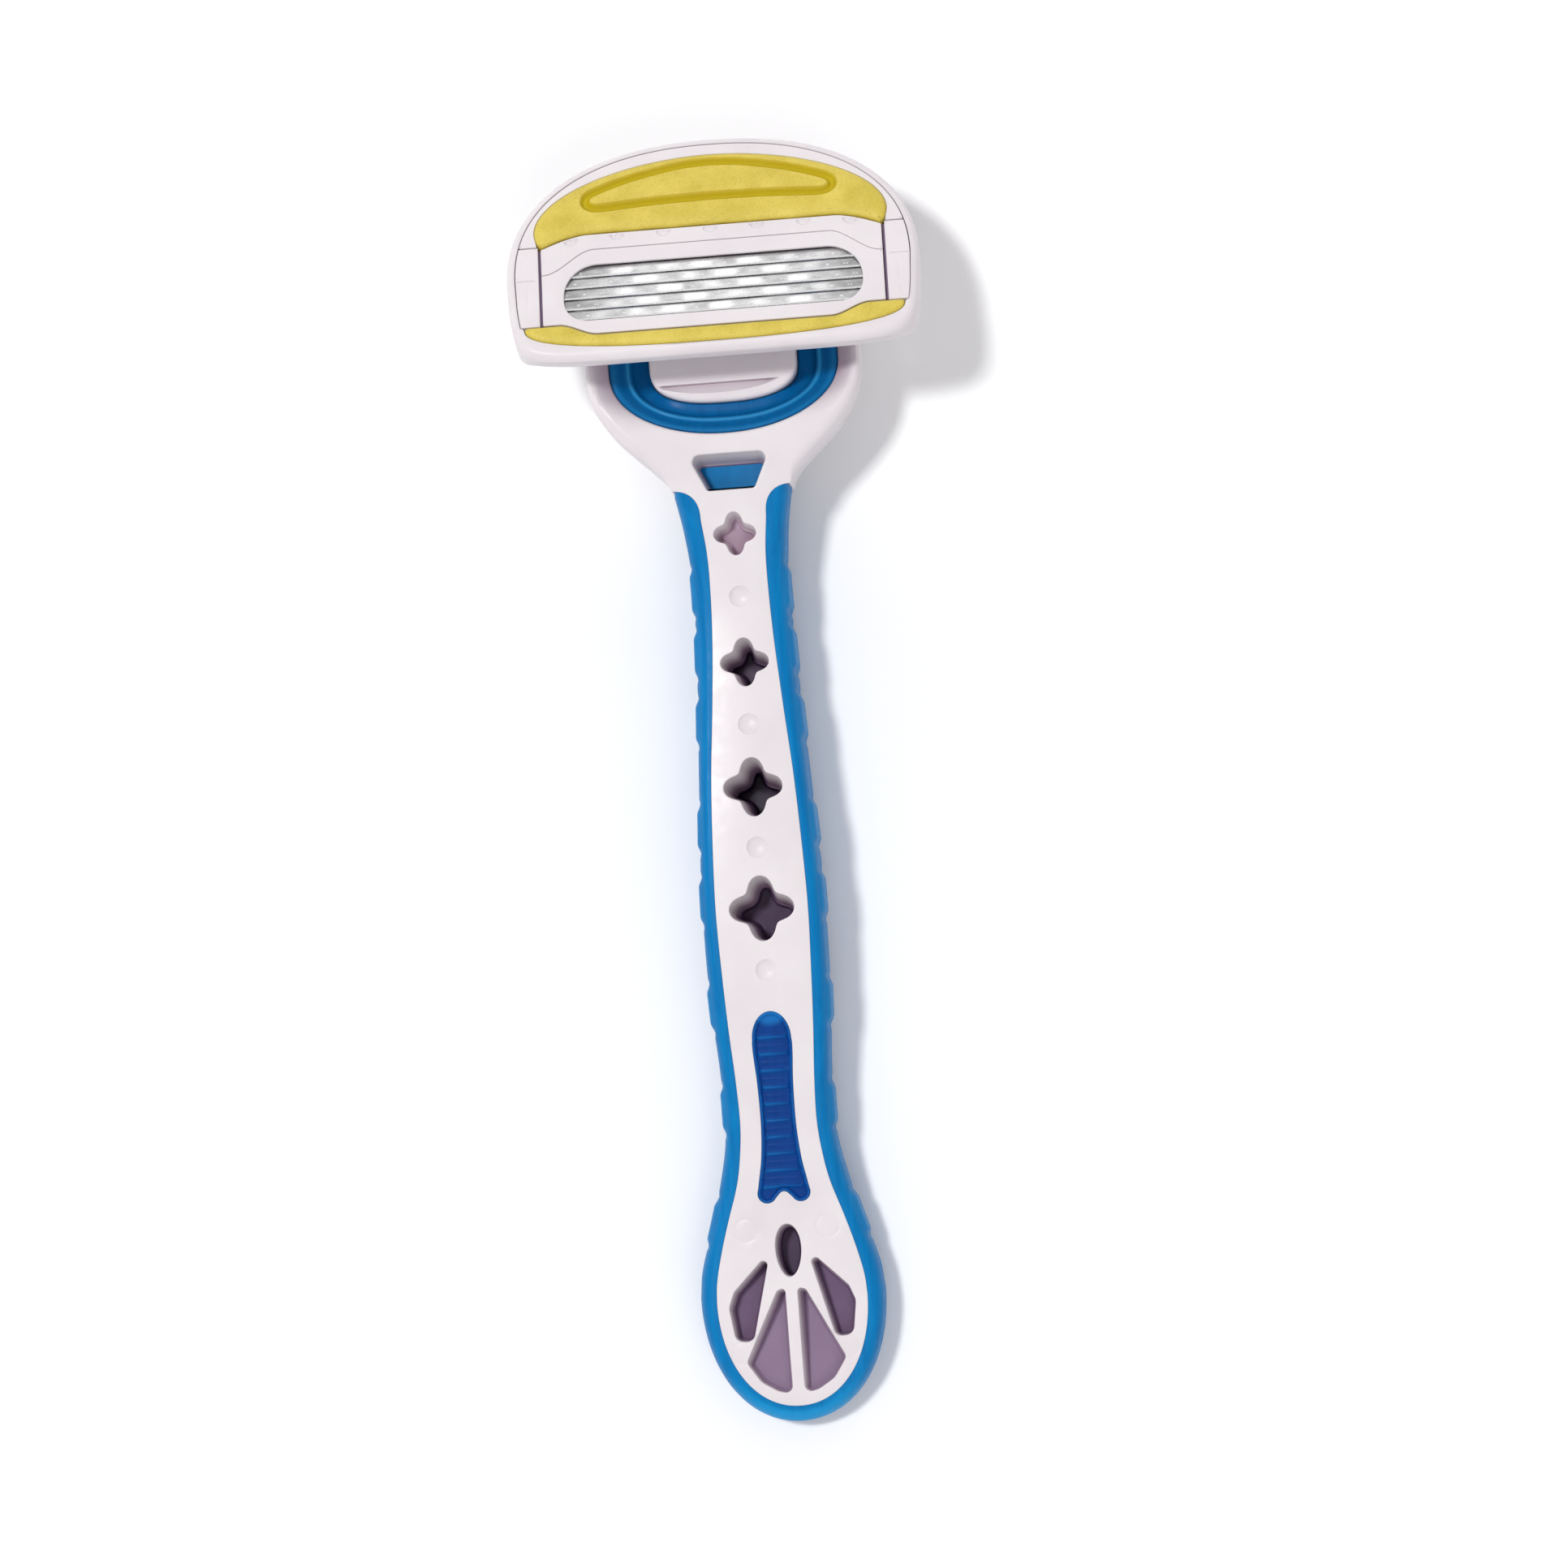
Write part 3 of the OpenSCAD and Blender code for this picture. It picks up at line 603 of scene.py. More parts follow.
# Colours of the painted shade, from none to the darkest floor of a pocket
PAINTED_SHADE_TONES = [(0, (1, 1, 1)), (0.3, linear(198, 176, 194)), (0.56, linear(160, 140, 168)),
                (0.74, linear(122, 100, 132)), (0.88, linear(92, 74, 104)), (1, linear(50, 34, 62))]
WHITE = white_plastic()
BLUE = soft_grip("soft_grip", linear(0, 108, 170), linear(0, 126, 188), painted_highlight=linear(30, 160, 220))
PAD = soft_grip("deep_blue_pad", linear(0, 54, 126), linear(0, 62, 138), 0.42, linear(20, 112, 184))
LINER = soft_grip("yoke_blue", linear(0, 88, 146), linear(0, 98, 158), 0.34, linear(50, 150, 205))
BUTTON = soft_grip("button_blue", linear(0, 104, 172), linear(0, 120, 190), 0.42)
SOAP = soap_material()
STEEL = blade_steel()
WIRE = spring_steel()

# ---- Handle curves, by station ----

TAIL_MID, TAIL_A = 15, 10.8
PANEL_MID, PANEL_A, PANEL_LOW = 14.6, 8.85, 1.9
OUTER_W = [[15, 10.8], [18, 10.45], [21, 9.6], [25, 8.4], [29, 7.35], [33, 6.55], [37, 6.4],
           [42, 6.5], [48, 6.9], [56, 7.1], [64, 7], [72, 6.6], [80, 6.2], [88, 5.8], [95, 5.6],
           [100, 5.6], [104, 5.95], [107, 6.4], [110, 7.2], [112, 8.9], [114, 11], [116, 13],
           [118, 14.5], [120, 15.5], [122, 16], [124, 16.2], [127, 16.15], [129, 15.8]]
PANEL_W = [[14.6, 8.85], [17, 8.7], [20, 8], [24, 6.8], [28, 5.5], [31, 4.9], [35, 4.5], [40, 4.6],
           [46, 4.95], [52, 5.2], [60, 5.4], [68, 5.2], [76, 4.8], [84, 4.15], [92, 3.6], [98, 3.4],
           [102, 3.45], [106, 3.85]]
FRONT = [[0, 4.6], [2, 5.8], [6, 6.8], [12, 7.4], [20, 7.9], [30, 9], [42, 10.9], [54, 12.4],
         [66, 13], [76, 12.8], [86, 12], [94, 11.8], [100, 12.4], [106, 13.6], [112, 14.6],
         [120, 14.7], [126, 14.3], [131, 12.9]]
REST_TAIL, REST_BELLY = (7, 18), (82, 94)
NECK_TOP, YOKE_FLAT, ARM_END = 109.5, 123, 131
ARCH_H = 1.8
SKIN_T = 1.8
STRIP_BASE, STRIP_END = 106, 109.4
STRIP_TIP_X = 6.72
CROWN = 0.55


def half_width(s):
    s = np.asarray(s, float)
    tail = TAIL_A * np.clip(1 - np.abs((TAIL_MID - s) / TAIL_MID) ** 2.1, 0, 1) ** (1 / 2.1)
    return np.where(s < TAIL_MID, tail, curve(OUTER_W, s))


def back_z(s):
    s = np.asarray(s, float)
    toe = 2.8 * (1 - np.sqrt(1 - np.clip(1 - s / REST_TAIL[0], 0, 1) ** 2.4))
    span = np.clip((s - REST_TAIL[1]) / (REST_BELLY[0] - REST_TAIL[1]), 0, 1)
    arch = ARCH_H * np.sin(np.pi * span) ** 2
    neck = NECK_LIFT * smooth((s - REST_BELLY[1]) / (NECK_TOP - REST_BELLY[1]))
    arms = 2.6 * np.clip((s - YOKE_FLAT) / (ARM_END - YOKE_FLAT), 0, 1) ** 2
    return toe + arch + neck + arms


DIMPLES = [96.8, 81.8, 67.3, 53.0]
DIMPLE_R = 1.25
DIMPLE_RINGS = (0.1, 0.3, 0.5, 0.65, 0.78, 0.88, 0.95, 1.0, 1.06)
EJECTORS = [(4.8, 22.8), (-4.8, 22.8), (6.05, 8.5), (-6.05, 8.5)]
EJECTOR_R = 1.35
EJECTOR_LINE = (-0.16, -0.08, 0, 0.08, 0.16)
BOWL_S, BOWL_A, BOWL_B = 124.1, 13.5, 8.3
TONGUE_A, TONGUE_B = 8.7, 4.5


def bowl_gap(x, s):
    """Distance outside the yoke's bowl, in millimetres, roughly."""
    t = np.sqrt((x / BOWL_A) ** 2 + (np.minimum(s - BOWL_S, 0) / BOWL_B) ** 2)
    return (t - 1) * BOWL_A * 0.8


def front_z(x, s):
    """Height of the handle's front surface."""
    x, s = np.asarray(x, float), np.asarray(s, float)
    across = np.abs(x) / np.maximum(half_width(s), 2)
    z = curve(FRONT, s) - CROWN * np.clip(across, 0, 1.1) ** 2.2 * (1 - smooth((s - 108) / 5))
    for at in DIMPLES:
        r = np.hypot(x, s - at) / DIMPLE_R
        z = z - 0.42 * np.clip(1 - r ** 2, 0, 1) ** 0.75
    for ex, es in EJECTORS:
        r = np.hypot(x - ex, s - es)
        z = z - 0.05 * smooth(1 - np.abs(r - EJECTOR_R) / 0.16) - 0.02 * smooth((EJECTOR_R - r) / 0.1)
    dish = smooth(1 - (bowl_gap(x, s) + 0.1) / 2.3) * smooth((s - 116.5) / 6)
    return z - 2.0 * dish


def tail_pair(count):
    """Paired points of the outer outline and the panel outline round the +X half of the tail."""
    outer = superellipse(TAIL_A, TAIL_MID, 2.1, -90, 0, count) + [0, TAIL_MID]
    panel = superellipse(PANEL_A, PANEL_MID - PANEL_LOW, 2.1, -90, 0, count) + [0, PANEL_MID]
    return outer, panel


def strip_stations(step, tip_count):
    """Stations from the tail to the ends of the strips, crowded together at their tips."""
    tip = np.sin(np.linspace(0, 1, tip_count) * math.pi / 2)
    body = np.arange(TAIL_MID + step, STRIP_BASE, step)
    return np.concatenate([body, STRIP_BASE + (STRIP_END - STRIP_BASE) * tip])


def strip_pair(s):
    """Paired points of both outlines from the tail up to the strips' rounded tips."""
    q = np.clip((s - STRIP_BASE) / (STRIP_END - STRIP_BASE), 0, 1)
    panel_x = curve(PANEL_W, s) + (STRIP_TIP_X - PANEL_W[-1][1]) * (1 - np.sqrt(1 - q ** 2.6))
    late = np.clip((q - 0.8) / 0.2, 0, 1)
    outer_x = half_width(s) - (7.0 - STRIP_TIP_X) * (1 - np.sqrt(1 - late ** 2))
    panel_s = s - 0.4 * smooth((TAIL_MID + 8 - s) / 8)
    return np.stack([outer_x, s], 1), np.stack([panel_x, panel_s], 1)


RIBS = [24, 37, 49, 61.5, 70, 82.5, 90.5, 97.7]
RIB_HALF = 2.2
RIB_OUT = 0.28
# Painted highlight on the ribs' facets; TAIL_GLEAM is a painted gleam at the tail's end
RIB_HIGHLIGHT = 0.13
TAIL_GLEAM, GLEAM_END = 0.6, 6.5
BACK_COLUMNS, BED_COLUMNS = 15, 5


def rib(s):
    """How far the grip ribs stand out at a station, from 0 to 1, with a shallow groove beside each."""
    gap = np.min([np.abs(s - at) for at in RIBS], axis=0) - RIB_HALF
    return smooth((0.4 - gap) / 0.8) - 0.45 * np.exp(-((gap - 0.75) / 0.3) ** 2)


def grip_skin():
    """The soft skin: a U-section that runs round the tail, welded to its own mirror there."""
    tail_outer, tail_panel = tail_pair(70)
    outer, panel = strip_pair(strip_stations(0.35, 22))
    outer = np.concatenate([tail_outer, outer])
    panel = np.concatenate([tail_panel, panel])
    ribs = rib(outer[:, 1])
    wide = outer + np.stack([ribs * RIB_OUT, ribs * 0], 1)
    thick = curve(FRONT, outer[:, 1]) - back_z(outer[:, 1])
    shoulder = np.minimum(2.5, 0.42 * thick)
    hip = np.minimum(2.8, 0.42 * thick)
    half = []
    gloss = []
    tail_gleam = TAIL_GLEAM * smooth((GLEAM_END - outer[:, 1]) / GLEAM_END)

    def row(x, s, z, painted_highlight=0.0):
        half.append(np.stack([x, s, z], 1))
        gloss.append(np.broadcast_to(painted_highlight, (len(x),)))

    def between(p, edge):
        x, s = (panel + (edge - panel) * p).T
        return x, s

    floor = back_z(panel[:, 1]) + SKIN_T
    row(panel[:, 0], panel[:, 1], floor)
    top_edge = front_z(panel[:, 0], panel[:, 1])
    row(panel[:, 0], panel[:, 1], top_edge - 0.25)
    row(panel[:, 0], panel[:, 1], top_edge - 0.03)
    row(panel[:, 0] + 0.03, panel[:, 1], top_edge + 0.01)
    for a in np.linspace(0.1, 1, 14):
        p = math.sin(a * math.pi / 2)
        x, s = between(p, outer)
        fall = 1 - (1 - p ** 2.3) ** (1 / 2.3)
        base = front_z(panel[:, 0], panel[:, 1]) + curve(FRONT, s) - curve(FRONT, panel[:, 1])
        out = smooth((p - 0.8) / 0.2)
        row(x + ribs * RIB_OUT * out, s, base + 0.05 * math.sin(math.pi * p) - shoulder * fall,
            np.maximum(RIB_HIGHLIGHT * ribs * out, tail_gleam * smooth((p - 0.1) / 0.4)))
    side_top = half[-1][:, 2]
    side_low = back_z(outer[:, 1]) + hip
    for t in (0.2, 0.4, 0.6, 0.8):
        row(wide[:, 0] + 0.12 * math.sin(math.pi * t), wide[:, 1], side_top + (side_low - side_top) * t,
            np.maximum(RIB_HIGHLIGHT * ribs, tail_gleam * (1 - t)))
    for a in np.linspace(1, 0.06, 12):
        p = math.sin(a * math.pi / 2)
        x, s = between(p, wide)
        rise = 1 - (1 - p ** 2.1) ** (1 / 2.1)
        row(x, s, back_z(s) + hip * rise, RIB_HIGHLIGHT * np.clip(ribs, 0, 1) * smooth((p - 0.5) / 0.4))
    half, gloss = np.stack(half, 1), np.stack(gloss, 1)
    rows = []
    for line in half:
        mirror = line[::-1] * [-1, 1, 1]
        x = np.linspace(line[-1, 0], -line[-1, 0], BACK_COLUMNS + 2)[1:-1]
        s = np.full(BACK_COLUMNS, line[-1, 1])
        curl = 2.2 * (1 - (x / np.maximum(half_width(s), 1)) ** 2)
        valley = 0.42 * (1 - np.clip(rib(s - curl), 0, 1)) * smooth((s - 20) / 4) * smooth((104 - s) / 4)
        valley = valley * smooth((line[-1, 0] - np.abs(x)) / 0.9)
        bottom = np.stack([x, s, back_z(s) + valley], 1)
        bed = np.repeat(line[:1], BED_COLUMNS, 0)
        bed[:, 0] = np.linspace(-line[0, 0], line[0, 0], BED_COLUMNS + 2)[1:-1]
        rows.append(np.concatenate([line, bottom, mirror, bed]))
    solid = Solid()
    index = [solid.add(r[:, :2], r[:, 2]) for r in rows]
    solid.rings(index)
    solid.faces.append(tuple(index[-1]))
    back, bed = np.zeros(BACK_COLUMNS), np.zeros(BED_COLUMNS)
    # Painted highlight: rib facets and the gleam at the tail's end, stored for the material
    solid.mark(index, [np.concatenate([g, back, g[::-1], bed]) for g in gloss])
    return piece("grip_skin", solid, on_handle, "handle", BLUE, ["grip_overmold"])


# Station, tip radius, depth and how much painted shade the pocket gets
STARS = [(104.1, 2.5, 3.0, 0.3), (89.1, 2.85, 7.0, 0.92), (74.4, 3.45, 8.4, 1.0), (60.2, 3.8, 7.0, 0.88)]


def star(s, tip):
    t = np.linspace(0, 2 * math.pi, 160, endpoint=False)
    r = tip * (0.84 + 0.17 * np.cos(4 * t) - 0.01 * np.cos(8 * t))
    return resample(np.stack([r * np.cos(t), s + r * np.sin(t)], 1), 0.16)


def fan_outlines():
    """The tail's five pockets: a drop, two leaves and two wedges."""
    t = np.linspace(0, 2 * math.pi, 90, endpoint=False)
    drop = np.stack([1.5 * np.cos(t) * (1 + 0.10 * np.sin(t)), 20.2 + 3.1 * np.sin(t)], 1)
    leaf = rounded([(2.15, 20.3), (6.75, 15.7), (7.45, 13.9), (6.9, 9.9), (4.85, 9.75)],
                   [0.5, 1.2, 1.4, 1.05, 1.0])
    wedge = rounded([(0.72, 15.9), (1.7, 15.55), (5.85, 7.35), (4.3, 4.95), (2.4, 3.75), (0.72, 3.35)],
                    [0.42, 0.6, 0.75, 2.2, 2.6, 0.8])
    out = [(drop, 4.2, 0.9)]
    for side in (-1, 1):
        for shape, floor, dark in ((leaf, 4.7, 0.74), (wedge, 4.7, 0.56)):
            out.append((anticlockwise(shape * [side, 1]), floor, dark))
    return [(resample(shape, 0.16), floor, dark) for shape, floor, dark in out]


PAD_W = [[26.9, 3.1], [28.5, 2.8], [31, 2.35], [35, 2.05], [40, 2.1], [44, 2.33], [45.6, 2.22],
         [46.8, 1.75], [47.7, 1.05], [48.1, 0.5], [48.2, 0]]
PAD_DEPTH = 2.4
PAD_TOP, PAD_TIP, PAD_TIP_W = 45, 3.2, 2.28
LOBE_X, LOBE_S, LOBE_R = 1.98, 26.95, 1.12
PAD_RIBS = (27.7, 1.94, 10, 0.2)
PAD_LINES = (28.67, 1.94, 9, 0.12)


def pad_outline():
    """The thumb pad: rounded on top, waisted, with two lobes below and a notch between them."""
    tip = np.sin(np.linspace(0, 1, 16) * math.pi / 2)
    s = np.concatenate([np.arange(27.5, PAD_TOP, 0.5), PAD_TOP + PAD_TIP * tip])
    round_tip = PAD_TIP_W * np.sqrt(np.clip(1 - ((s - PAD_TOP) / PAD_TIP) ** 2, 0, 1))
    x = np.where(s < PAD_TOP, curve(PAD_W, s), round_tip)
    # The 29 of the circle's 60 points that run from 210 degrees round to 18
    lobe = np.roll(circle(LOBE_X, LOBE_S, LOBE_R, 60), -35, 0)[:29]
    notch = np.array([[0.0, 27.15], [0.35, 27.05], [0.62, 26.8]])
    half = np.concatenate([notch, lobe, np.stack([x, s], 1)])
    return resample(anticlockwise(mirrored(half)), 0.16)


WINDOW_FLOOR = 5.2 + NECK_LIFT
BOWL_FLOOR = 3.2 + NECK_LIFT


def below_panel(depth):
    """A height function that follows the middle of the panel, depth below it."""
    return lambda x, y: front_z(0 * x, y) - depth


def below_front(depth):
    """A height function depth below the handle's front surface."""
    return lambda x, y: front_z(x, y) - depth


def handle_core():
    """The white handle: panel, pockets and yoke."""
    _, tail = tail_pair(60)
    _, panel = strip_pair(strip_stations(0.6, 20))
    shoulder = np.arange(109.9, 129.2, 0.4)
    outside = np.stack([half_width(shoulder), shoulder], 1)
    arm = np.array([[15.3, 130.1], [14.6, 130.9], [13.9, 131.0], [13.5, 130.7], [13.5, 127]])
    bowl = superellipse(BOWL_A, BOWL_B, 2.1, 0, -90, 50) + [0, BOWL_S]
    half = np.concatenate([tail, panel, [[6.9, 109.45], [7.08, 109.6]], outside, arm, bowl])
    loop = resample(anticlockwise(mirrored(half)), 0.3)
    x, s = np.abs(loop[:, 0]), loop[:, 1]
    yoke = smooth((s - 109.3) / 2.2)
    in_bowl = (np.abs(bowl_gap(x, s)) < 0.35) & (s > BOWL_S - BOWL_B - 0.3) & (x < BOWL_A + 0.05)
    rim = np.where(in_bowl, 0.3, 0.03 + 1.2 * yoke)
    foot = np.where(in_bowl, 0.05, 0.05 + 1.9 * yoke)
    loop = inset(loop, np.where(s < 109.45, 0.01, 0.0))

    def bottom(x, s):
        return back_z(s) + (SKIN_T + 0.05) * (np.asarray(s) < 109.47)

    pockets = []
    for s, tip, depth, dark in STARS:
        pockets.append(dict(outline=star(s, tip), floor=below_panel(depth), rim=0.13, fillet=0.3, dark=dark,
                            draft=0.1 * depth + 0.1, lean=(0.04 * depth, -0.075 * depth)))
    for shape, floor, dark in fan_outlines():
        pockets.append(dict(outline=shape, floor=floor, rim=0.15, draft=0.3, fillet=0.25, dark=dark,
                            lean=(0.12, -0.2)))
    pockets.append(dict(outline=inset(pad_outline(), -0.01), floor=below_front(PAD_DEPTH), rim=0.04,
                        fillet=0.1))
    trapezoid = rounded([(-2.75, 109.2), (2.75, 109.2), (4.75, 113.4), (-4.75, 113.4)],
                        [0.45, 0.45, 0.85, 0.85])
    pockets.append(dict(outline=resample(trapezoid, 0.16), floor=WINDOW_FLOOR - 0.15, rim=0.28, draft=0.55,
                        fillet=0.12, lean=(0.1, -0.5), dark=0.42))
    recess = rectangle(-5, 5, 110.4, 120.4, 0.9)
    marks = [circle(0, at, DIMPLE_R * r, 30) for at in DIMPLES for r in DIMPLE_RINGS]
    marks += [circle(ex, es, EJECTOR_R + d, 48) for ex, es in EJECTORS for d in EJECTOR_LINE]
    solid = Solid()
    slab(solid, loop, front_z, bottom, rim=rim, foot=foot, rim_drop=rim * 1.1, foot_drop=foot * 1.1,
         pockets=pockets, spacing=0.7, extra=np.concatenate(marks),
         back_pockets=[dict(outline=resample(recess, 0.3), floor=NECK_LIFT + 1.4, rim=0.15, fillet=0.2)])
    # Painted shade on the yoke's inner slopes, down towards the bowl
    flat = np.array(solid.points)
    gap = bowl_gap(flat[:, 0], flat[:, 1])
    slope = smooth(1 - (gap - 0.2) / 1.9) * smooth((flat[:, 1] - 117.5) / 5)
    slope = slope * (gap > -0.2) * (flat[:, 2] > NECK_LIFT + 4)
    marked = np.where(slope > 0)[0]
    solid.mark([marked], [0.24 * slope[marked]])
    seat = np.concatenate([superellipse(BOWL_A + 0.2, BOWL_B + 0.2, 2.1, 0, -180, 80) + [0, BOWL_S],
                           [[-BOWL_A - 0.2, 126.2], [BOWL_A + 0.2, 126.2]]])
    slab(solid, resample(anticlockwise(seat), 0.5), flat_at(BOWL_FLOOR), lambda x, y: back_z(y) + 0.02,
         rim=0.1, foot=0.1, spacing=2)
    return piece("white_handle", solid, on_handle, "handle", WHITE, ["handle_core"])


def thumb_pad():
    """The ribbed pad, sunk a little below the panel inside a raised lip."""
    outline = pad_outline()
    lip, sink = 0.26, 0.34

    def top(x, y):
        edge = distance(np.stack([x, y], 1), outline)
        well = smooth((edge - lip) / 0.3)
        z = front_z(x, y) - 0.05 - sink * well
        relief = 0.26 * ridges(y, *PAD_RIBS) + 0.05 * ridges(y, *PAD_LINES)
        return z + relief * smooth((edge - lip - 0.25) / 0.3)

    solid = Solid()
    slab(solid, outline, top, lambda x, y: front_z(x, y) - PAD_DEPTH + 0.05, rim=0.1, foot=0.1,
         spacing=0.5, extra=lattice(np.arange(-3.3, 3.31, 0.22), np.arange(25.8, 48.3, 0.09)))
    # Painted highlight: lighter ribs, more so on the left, a crescent near the top and a lighter lip
    flat = np.array(solid.points)
    lines = ridges(flat[:, 1], *PAD_RIBS)
    edge = distance(flat[:, :2], outline)
    crescent = smooth((flat[:, 1] - 46.2 - 0.22 * flat[:, 0] ** 2) / 1.0) * 0.9
    left = 0.25 + 0.35 * smooth((1.5 - flat[:, 0]) / 2.5)
    ribs = np.clip(lines, 0, 1) * left * smooth((edge - 0.4) / 0.3)
    solid.paint(np.maximum(ribs, np.maximum(crescent, 0.35 * (edge < 0.3))))
    return piece("ribbed_thumb_pad", solid, on_handle, "handle", PAD, ["thumb_pad"])


def neck_insert():
    """Soft floor of the trapezoid window."""
    outline = rounded([(-3.6, 108.7), (3.6, 108.7), (5.0, 113.3), (-5.0, 113.3)], [0.6] * 4)
    solid = Solid()
    slab(solid, resample(outline, 0.2), lambda x, y: WINDOW_FLOOR - 0.05 * np.cos(x * 0.6),
         flat_at(NECK_LIFT + 3.1), rim=0.1, foot=0.1, spacing=0.5)
    return piece("neck_window_floor", solid, on_handle, "handle", BLUE, ["neck_insert"])


LINER_END = 128


def yoke_liner():
    """The blue U: an outer lip, a ledge with a crease, and a lower inner band."""
    outer = superellipse(BOWL_A - 0.03, BOWL_B - 0.03, 2.1, 0, -180, 121) + [0, BOWL_S]
    inner = superellipse(TONGUE_A, TONGUE_B, 2.6, 0, -180, 121) + [0, BOWL_S]
    legs = np.linspace(LINER_END, BOWL_S, 10, endpoint=False)

    def with_legs(arc, x):
        right = [[x, s] for s in legs]
        left = [[-x, s] for s in legs[::-1]]
        return np.concatenate([right, arc, left])

    outer = with_legs(outer, BOWL_A - 0.03)
    inner = with_legs(inner, TONGUE_A)
    # Share of the way from the outer edge to the inner one, and height
    profile = [(0.0, -3.2), (0.0, -0.75), (0.01, -0.55), (0.05, -0.42), (0.12, -0.42), (0.2, -0.62),
               (0.3, -0.95), (0.38, -1.12), (0.44, -1.14), (0.47, -1.1), (0.5, -1.16), (0.54, -1.45),
               (0.58, -1.95), (0.62, -2.2), (0.7, -2.32), (0.82, -2.35), (0.95, -2.3), (0.985, -2.4),
               (1.0, -2.7), (1.0, -5.4)]
    edge = front_z(outer[:, 0] * 1.002, outer[:, 1])
    solid = Solid()
    rows = []
    for p, z in profile:
        flat = outer + (inner - outer) * p
        rows.append(solid.add(flat, np.maximum(edge + z, BOWL_FLOOR + 0.05)))
    rows.append(solid.add(outer, BOWL_FLOOR + 0.02))
    solid.rings(rows + [rows[0]], closed=False)
    # Painted highlight along the crease and the outer lip
    for row, (p, _) in zip(rows, profile):
        crease, lip = math.exp(-((p - 0.46) / 0.05) ** 2), math.exp(-((p - 0.1) / 0.08) ** 2)
        solid.mark([row], [0.75 * crease + 0.25 * lip])
    for end in (0, -1):
        solid.faces.append(tuple(r[end] for r in rows))
    return piece("yoke_liner_soft", solid, on_handle, "handle", LINER, ["yoke_liner"])


BUTTON_SPRING_X, BUTTON_SPRING_S, BUTTON_SPRING_L = 3.4, 112.6, 4.1
PLUNGER_SPRING_S, PLUNGER_SPRING_L = 122.05, 3.9


def release_button():
    """Thumb piece in the yoke's back, with grip ribs, and the stem that pushes the dock."""
    plate = resample(rectangle(-4.6, 4.6, 110.8, 117.7, 1.2), 0.2)

    def back(x, y):
        ribs = ridges(y, 112, 1.15, 5, 0.28)
        edge = smooth((4.1 - np.abs(x)) / 0.5)
        return NECK_LIFT + 0.38 - 0.24 * ribs * edge

    solid = Solid()
    slab(solid, plate, flat_at(NECK_LIFT + 1.3), back, rim=0.12, foot=0.25, spacing=1.0, back_spacing=0.2)
    stem = resample(rectangle(-2, 2, 113.4, 117.1, 0.3), 0.3)
    slab(solid, stem, flat_at(NECK_LIFT + 4.1), flat_at(NECK_LIFT + 1.2), rim=0.2, foot=0.05)
    for side in (-1, 1):
        middle = side * BUTTON_SPRING_X
        lug = resample(rectangle(middle - 0.65, middle + 0.65, 111.4, 112.5, 0.15), 0.15)
        slab(solid, lug, flat_at(NECK_LIFT + 2.8), flat_at(NECK_LIFT + 1.2), rim=0.1, foot=0.05)
    return piece("release_button_thumb", solid, on_handle, "button", BUTTON,
                 ["release_button"])


DOCK_BACK, DOCK_FRONT, DOCK_TOP = 119.65, 130.4, 8.3 + NECK_LIFT
LEDGE_HIGH = 121.95
ARM_X = (5.6, 8.2)
PIN_R, PIN_PROUD = 0.95, 0.12


def bar(solid, profile, x0, x1, edge=0.15):
    """A bar along X with a rounded-edge end at each side. The profile is [s, z] points."""
    profile = anticlockwise(np.asarray(profile, float))
    rows = []
    for x, move in ((x0, edge), (x0 + edge * 0.3, edge * 0.3), (x0 + edge, 0), (x1 - edge, 0),
                    (x1 - edge * 0.3, edge * 0.3), (x1, edge)):
        flat = inset(profile, move)
        first = len(solid.points)
        solid.points.extend((x, p[0], p[1]) for p in flat)
        rows.append(np.arange(first, first + len(flat)))
    solid.rings(rows)
    solid.ends(rows)


